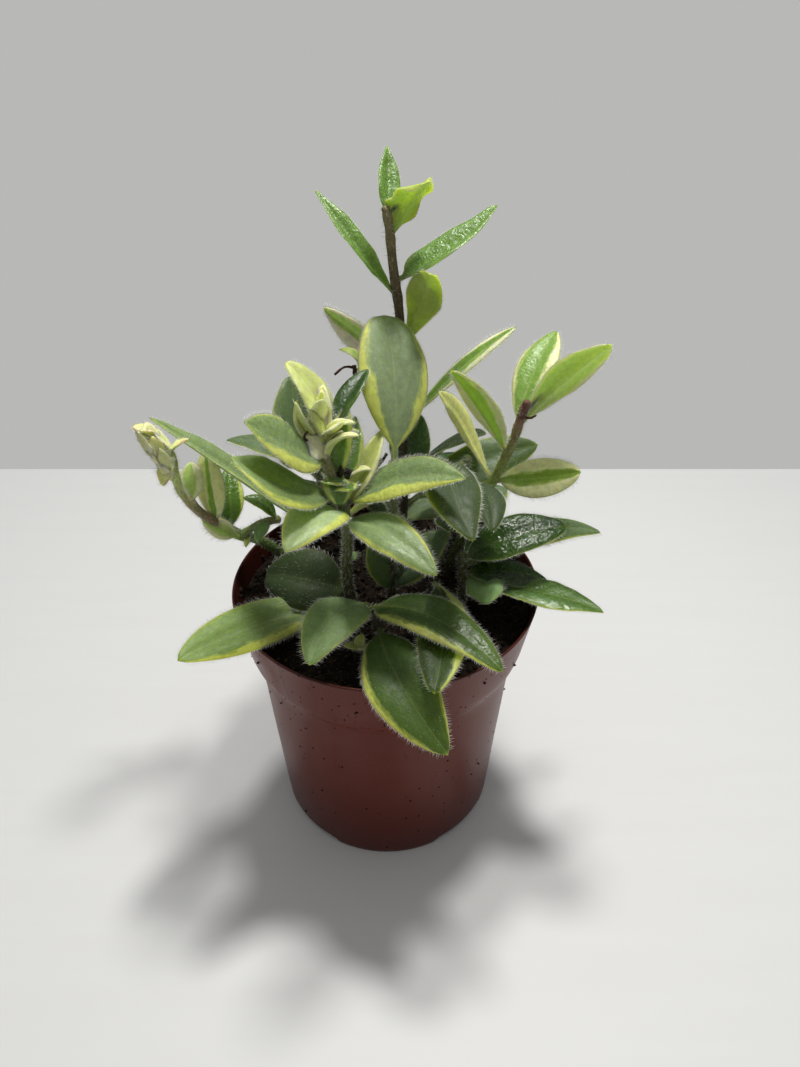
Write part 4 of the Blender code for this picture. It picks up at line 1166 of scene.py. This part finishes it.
def draw_stem(heap, branch, stops):
    """A closed tube with swellings at its leaves and a rounded end."""
    route = smooth_route(branch.route, STEM_STEPS * FINE_STEPS)
    last = len(route) - 1
    side = Vector((1, 0, 0))
    rows = []
    for i, centre in enumerate(route):
        ahead = way_ahead(route, 0 if i <= STEM_STEPS * FINE_STEPS else i)
        side = (side - ahead * side.dot(ahead)).normalized()
        other = ahead.cross(side)
        radius = branch.foot_radius + (branch.tip_radius - branch.foot_radius) * i / last
        nearest = min(abs(leaf.height - centre.z) for leaf in branch.leaves)
        if centre.z > SOIL_TOP + 4:
            radius *= 1 + KNOT_SWELL * exp(-(nearest / KNOT_LENGTH) ** 2)
        row = []
        for k in range(STEM_SIDES):
            angle = 2 * pi * k / STEM_SIDES
            rough = 1 + 0.06 * noise.noise(Vector((cos(angle), sin(angle), centre.z / 3)))
            place = centre + (side * cos(angle) + other * sin(angle)) * radius * rough
            row.append(heap.point(place, ground=colour_at(stops, centre.z),
                                  plan=(angle * radius, centre.z, 0)))
        rows.append(row)
    heap.face(rows[0][::-1], STEM)
    for lower, upper in zip(rows, rows[1:]):
        heap.band(lower, upper, STEM)
    end = heap.point(route[-1] + ahead * branch.tip_radius * 0.6,
                     ground=stops[-1][1], plan=(0, route[-1].z, 0))
    for k in range(STEM_SIDES):
        heap.face((rows[-1][k], rows[-1][(k + 1) % STEM_SIDES], end), STEM)


def draw_twig(heap, twig, dice):
    """A closed crooked tube, knobbly and a little thinner at its end."""
    route = smooth_route(twig.route, 4)
    rings = []
    for i, centre in enumerate(route):
        ahead = way_ahead(route, i)
        side = ahead.orthogonal().normalized()
        other = ahead.cross(side)
        radius = twig.radius * dice.uniform(0.75, 1.2) * (1 - 0.3 * i / len(route))
        turns = [2 * pi * k / TWIG_SIDES for k in range(TWIG_SIDES)]
        rings.append([heap.point(centre + (side * cos(a) + other * sin(a)) * radius,
                                 ground=twig.colour, plan=(k, centre.z, 0))
                      for k, a in enumerate(turns)])
    heap.tube(rings, STEM)


# %% [markdown]
# ## Leaf skins
# The upper skin blends the ground and border colours with an uneven, streaky edge, as the
# real variegation runs along the leaf's cells. A pale midrib, faint side veins, fine light
# speckles (the feet of hairs) and broad mottling lie over it. The underside shows the same
# pattern, paler and matt. Light soaks less deep into the palest leaves, which would turn
# grey otherwise, and a glossy leaf has a stronger sheen. Only what varies over the leaf goes
# through nodes. The marks give lengths in millimetres here.

# %% Make the leaf skins and the stem skin
ALONG = (1.0, 0.55, 1.0)          # noise drawn out along the leaf
LONG_ALONG = (1.0, 0.22, 1.0)
STREAKS_ALONG = (1.0, 0.10, 1.0)
SPECKLE = (0.52, 0.58, 0.44)
STEM_SPECK = (0.40, 0.40, 0.26)
UNDERSIDE = (0.44, 0.54, 0.26)
LIGHT_IN_LEAF = (0.85, 1.0, 0.20)  # how far each colour of light spreads inside
VEIN_ANGLE = 1.1
VEIN_CLOSENESS = 1.35


def leaf_colour(plan, ground, border, edge, speckle, streak, rib_strength):
    """The pattern of one face of the leaves."""
    aside, start, share = edge.parts()
    jag = ((plan.cloudy(0.16, 3, 0.6, ALONG) * 0.80 - 0.42)
           + (plan.cloudy(1.1, 3, 0.6, LONG_ALONG) * 0.40 - 0.20))
    band = 1.0 - start
    reach = jag * band.step_up(0.02, 0.25, 0.25, 0.75) + (aside - start)
    half_tone = reach.step_up(-0.11, -0.04) * band.step_up(0.03, 0.10)
    streaks = plan.cloudy(1.6, 3, 0.6, STREAKS_ALONG).step_up(0.50, 0.72)
    colour = (streaks * streak * 0.20).mix(ground, border)
    colour = half_tone.mix(colour, ground.towards(border, 0.36))
    colour = reach.step_up(-0.02, 0.04).mix(colour, border)
    rib_width = share.step_up(0.0, 1.0, 0.75, 0.25)
    rib = (abs(plan.parts()[0]) / rib_width).step_up(0.35, 1.0, 1.0, 0.0) * rib_strength
    rim = aside.step_up(0.93, 1.0, 0.0, 0.6)
    colour = rim.reckon("MAXIMUM", rib).mix(colour, ground.towards(border, 0.45))
    colour = colour.lit(plan.cloudy(0.55, 4, 0.65).step_up(0.25, 0.75, 0.85, 1.12))
    dots = plan.cells(2.1).step_up(0.10, 0.34, 1.0, 0.0) * speckle * 0.30
    return dots.mix(colour, SPECKLE)


def leaf_surface(plan, shine):
    """Side veins, pebbles and swells, which show more on a glossy leaf."""
    across_mm, along_mm, _ = plan.parts()
    veins = (along_mm - abs(across_mm) * VEIN_ANGLE) * VEIN_CLOSENESS
    pebbles = plan.cells(1.15, feature="SMOOTH_F1") * 0.7
    height = veins.reckon("SINE") * 0.10 + (plan.cloudy(1.3, 3, 0.6) + pebbles)
    swells = plan.cloudy(0.30, 2) * 1.8
    return ((height + swells) * (shine + 0.08)).relief(0.7, 0.0004)


def leaf_skin(name, pale, rib_strength, matt, gloss):
    """One face of the leaves: how far its colour is lifted, how strong its midrib is, how
    rough it is where dull, and how much of that a glossy finish takes away."""
    material = new_material(name)
    ground, border, plan, edge, look = [mark(material, which) for which in MARKS]
    shine, speckle, streak = look.parts()
    colour = leaf_colour(plan, ground, border, edge, speckle, streak, rib_strength)
    if pale:
        colour = colour.towards(UNDERSIDE, pale)
    dull = plan.cloudy(0.45, 3, 0.6).step_up(0.40, 0.70, 0.0, 0.20)
    paleness = colour.add("RGBToBW", 0, {"Color": colour})
    coat(material, {"Base Color": colour,
                    "Roughness": matt - shine * gloss + dull,
                    "Normal": leaf_surface(plan, shine),
                    "Subsurface Weight": 0.9,
                    "Subsurface Radius": LIGHT_IN_LEAF,
                    "Subsurface Scale": paleness.step_up(0.58, 0.74, 0.0035, 0.0008),
                    "Specular IOR Level": shine * 0.55 + 0.25})
    return material


leaf_upper = leaf_skin("leaf_upper", 0, 0.28, 0.58, 0.52)
leaf_under = leaf_skin("leaf_under", 0.15, 0.4, 0.66, 0.12)

stem_skin = new_material("stem_skin")
plan = mark(stem_skin, "plan")
bark = plan.cloudy(0.9, 4, 0.65, (1.0, 0.35, 1.0))
tone = mark(stem_skin, "ground").lit(bark.step_up(0.3, 0.7, 0.65, 1.35))
coat(stem_skin, {"Base Color": (plan.specks(2.4, 0.32, 0.35) * 0.35).mix(tone, STEM_SPECK),
                 "Roughness": 0.6, "Normal": bark.relief(0.5, 0.0004)})
print("leaf skin:", len(leaf_upper.node_tree.nodes), "nodes")

# %% [markdown]
# ## Hairs
# Every leaf and stem of this plant is covered with short white hairs, which show best
# against the light along the margins. Each hair is a thin three-sided spike with its foot in
# the skin, so it is real geometry.

# %% Draw hairs
MARGIN_GAP = 0.34         # between the hairs along a margin
FACE_DENSITY = 0.52       # hairs on a square millimetre of a leaf, both faces together
STEM_DENSITY = 12         # hairs on a millimetre of stem
MARGIN_HAIR, FACE_HAIR, STEM_HAIR = 0.075, 0.036, 0.068    # their radii at the foot
SUNK = 0.12
DULL_WHITE, CLEAR_WHITE = (0.78, 0.80, 0.70), (0.90, 0.91, 0.84)


def draw_hair(heap, foot, heading, length, radius):
    """A closed spike: three points sunk in the skin and one tip."""
    heading = heading.normalized()
    side = heading.orthogonal().normalized()
    other = heading.cross(side)
    ring = [heap.point(foot - heading * SUNK + (side * cos(a) + other * sin(a)) * radius)
            for a in (0, 2 * pi / 3, 4 * pi / 3)]
    tip = heap.point(foot + heading * length)
    heap.face(ring[::-1])
    for k in range(3):
        heap.face((ring[k], ring[(k + 1) % 3], tip))


def scatter(dice, spread=1.0):
    return Vector([dice.gauss(0, spread) for _ in range(3)])


def leaf_hairs(heap, blade, dice, fuzz):
    """Hairs on the margin, which lean towards the tip, and short ones on both faces."""
    leaf = blade.leaf
    for side in (-1, 1):
        share = 0.04
        while share < 0.99:
            _, ahead, out, across = blade.frame(share)
            foot = blade.at(share, side, 1)
            heading = across * side + ahead * 0.5 + out * 0.15 + scatter(dice, 0.28)
            draw_hair(heap, foot, heading, dice.uniform(0.7, 1.9) * min(fuzz, 1.2), MARGIN_HAIR)
            share += MARGIN_GAP * dice.uniform(0.6, 1.4) / leaf.length
    area = 0.66 * leaf.length * leaf.width
    for _ in range(int(area * FACE_DENSITY * fuzz)):
        share = dice.uniform(0.08, 0.97)
        side = dice.uniform(-0.97, 0.97)
        face = dice.choice((-1, 1))
        if dice.random() > half_width(share, leaf) / (0.5 * leaf.width):
            continue
        _, ahead, out, _ = blade.frame(share)
        heading = out * face + ahead * 0.9 + scatter(dice, 0.35)
        draw_hair(heap, blade.at(share, side, face), heading,
                  dice.uniform(0.4, 0.95) * min(fuzz, 1.3), FACE_HAIR)


def stem_hairs(heap, branch, dice, fuzz):
    route = smooth_route(branch.route, STEM_STEPS * FINE_STEPS)
    for lower, upper in zip(route, route[1:]):
        if lower.z < SOIL_TOP + 2:
            continue
        ahead = (upper - lower).normalized()
        for _ in range(int((upper - lower).length * STEM_DENSITY * fuzz) + 1):
            out = scatter(dice)
            out = (out - ahead * out.dot(ahead)).normalized()
            foot = lower.lerp(upper, dice.random()) + out * branch.tip_radius * 0.98
            draw_hair(heap, foot, out + scatter(dice, 0.25), dice.uniform(0.7, 2.1), STEM_HAIR)


plant_hair = new_material("plant_hair")
white = here(plant_hair).cloudy(500).mix(DULL_WHITE, CLEAR_WHITE)
coat(plant_hair, {"Base Color": white, "Roughness": 0.5})
print("hair:", len(plant_hair.node_tree.nodes), "nodes")

# %% [markdown]
# ## Grow the shoots
# Each CAD node is one leafy stem, and one dressed piece replaces it, with its hairs as a
# second piece. The dice start from the shoot's own number, so every run gives the same plant.

# %% Grow them
BROWN = (0.060, 0.045, 0.022)      # these stops are heights and colours along a stem
STEM_GREEN = (0.170, 0.210, 0.075)
GREEN_BROWN = (0.095, 0.100, 0.035)
WOODY = [(95, BROWN), (115, GREEN_BROWN), (150, STEM_GREEN)]
STEM_COLOURS = {
    "front_shoot": [(95, BROWN), (115, GREEN_BROWN), (142, STEM_GREEN),
                    (152, (0.30, 0.30, 0.12)), (162, (0.46, 0.42, 0.20))],
    "tall_shoot": [(95, BROWN), (150, (0.060, 0.040, 0.016)), (190, (0.085, 0.055, 0.022)),
                   (205, (0.17, 0.13, 0.055)), (215, (0.24, 0.20, 0.09))],
    "right_tall_shoot": [(95, BROWN), (116, (0.16, 0.24, 0.04)), (132, (0.30, 0.42, 0.07)),
                         (148, (0.28, 0.28, 0.08)), (158, (0.24, 0.12, 0.07))],
    "trailing_shoot": [(95, BROWN), (104, (0.14, 0.24, 0.04)), (114, (0.26, 0.36, 0.08)),
                       (121, (0.28, 0.20, 0.10)), (130, (0.42, 0.38, 0.15)),
                       (140, (0.60, 0.72, 0.20)), (158, LIME)],
}
STALK_COLOURS = {"right_tall_shoot": (0.30, 0.26, 0.12), "trailing_shoot": OLIVE}
STEM_FUZZ = {"tall_shoot": 0.4, "front_shoot": 1.8, "trailing_shoot": 1.8,
             "right_low_shoot": 1.8, "right_tall_shoot": 0.7}
SMALL_LEAF_FUZZ = 0.7


def grow_leaf(body, fuzz, leaf, place, stalk, dice, small):
    """A leaf and its hairs."""
    blade = Blade(leaf, place, dice)
    draw_blade(body, blade, stalk)
    leaf_hairs(fuzz, blade, dice, (SMALL_LEAF_FUZZ if small else 1.0) * blade.finish.hair)


triangles = 0
for number, (name, branches) in enumerate(SHOOTS.items()):
    dice = Random(100 + number)
    body, fuzz = Heap(), Heap()
    stalk = STALK_COLOURS.get(name, STEM_GREEN)
    for branch in branches:
        draw_stem(body, branch, STEM_COLOURS.get(name, WOODY))
        coarse = smooth_route(branch.route, STEM_STEPS)
        for leaf in branch.leaves:
            grow_leaf(body, fuzz, leaf, point_at(coarse, leaf.height), stalk, dice,
                      leaf.length <= LONG_LEAF)
        stem_hairs(fuzz, branch, dice, STEM_FUZZ.get(name, 1.0))
    for place, leaf in LEAFLETS.get(name, []):
        grow_leaf(body, fuzz, leaf, Vector(place), FINISHES[leaf.finish].ground, dice, True)
    for twig in TWIGS.get(name, []):
        draw_twig(body, twig, dice)
    dressed = body.piece(name + "_leaves", [leaf_upper, leaf_under, stem_skin])
    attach(dressed, "root")
    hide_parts(name)
    if fuzz.faces:
        hairs = fuzz.piece(name + "_hairs", [plant_hair], with_marks=False)
        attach(hairs, "root")
    triangles += 2 * len(body.faces) + len(fuzz.faces)
    print(name, len(body.faces), "leaf faces,", len(fuzz.faces), "hair faces")
print("triangles in the shoots, about", triangles)

# %% [markdown]
# ## Sizes
# The dressed plant has to keep the CAD model's size, so both boxes are gathered here.

# %% Gather the sizes
size = {"cad": [list(corner) for corner in cad_box],
        "visual": [list(corner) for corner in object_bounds()]}
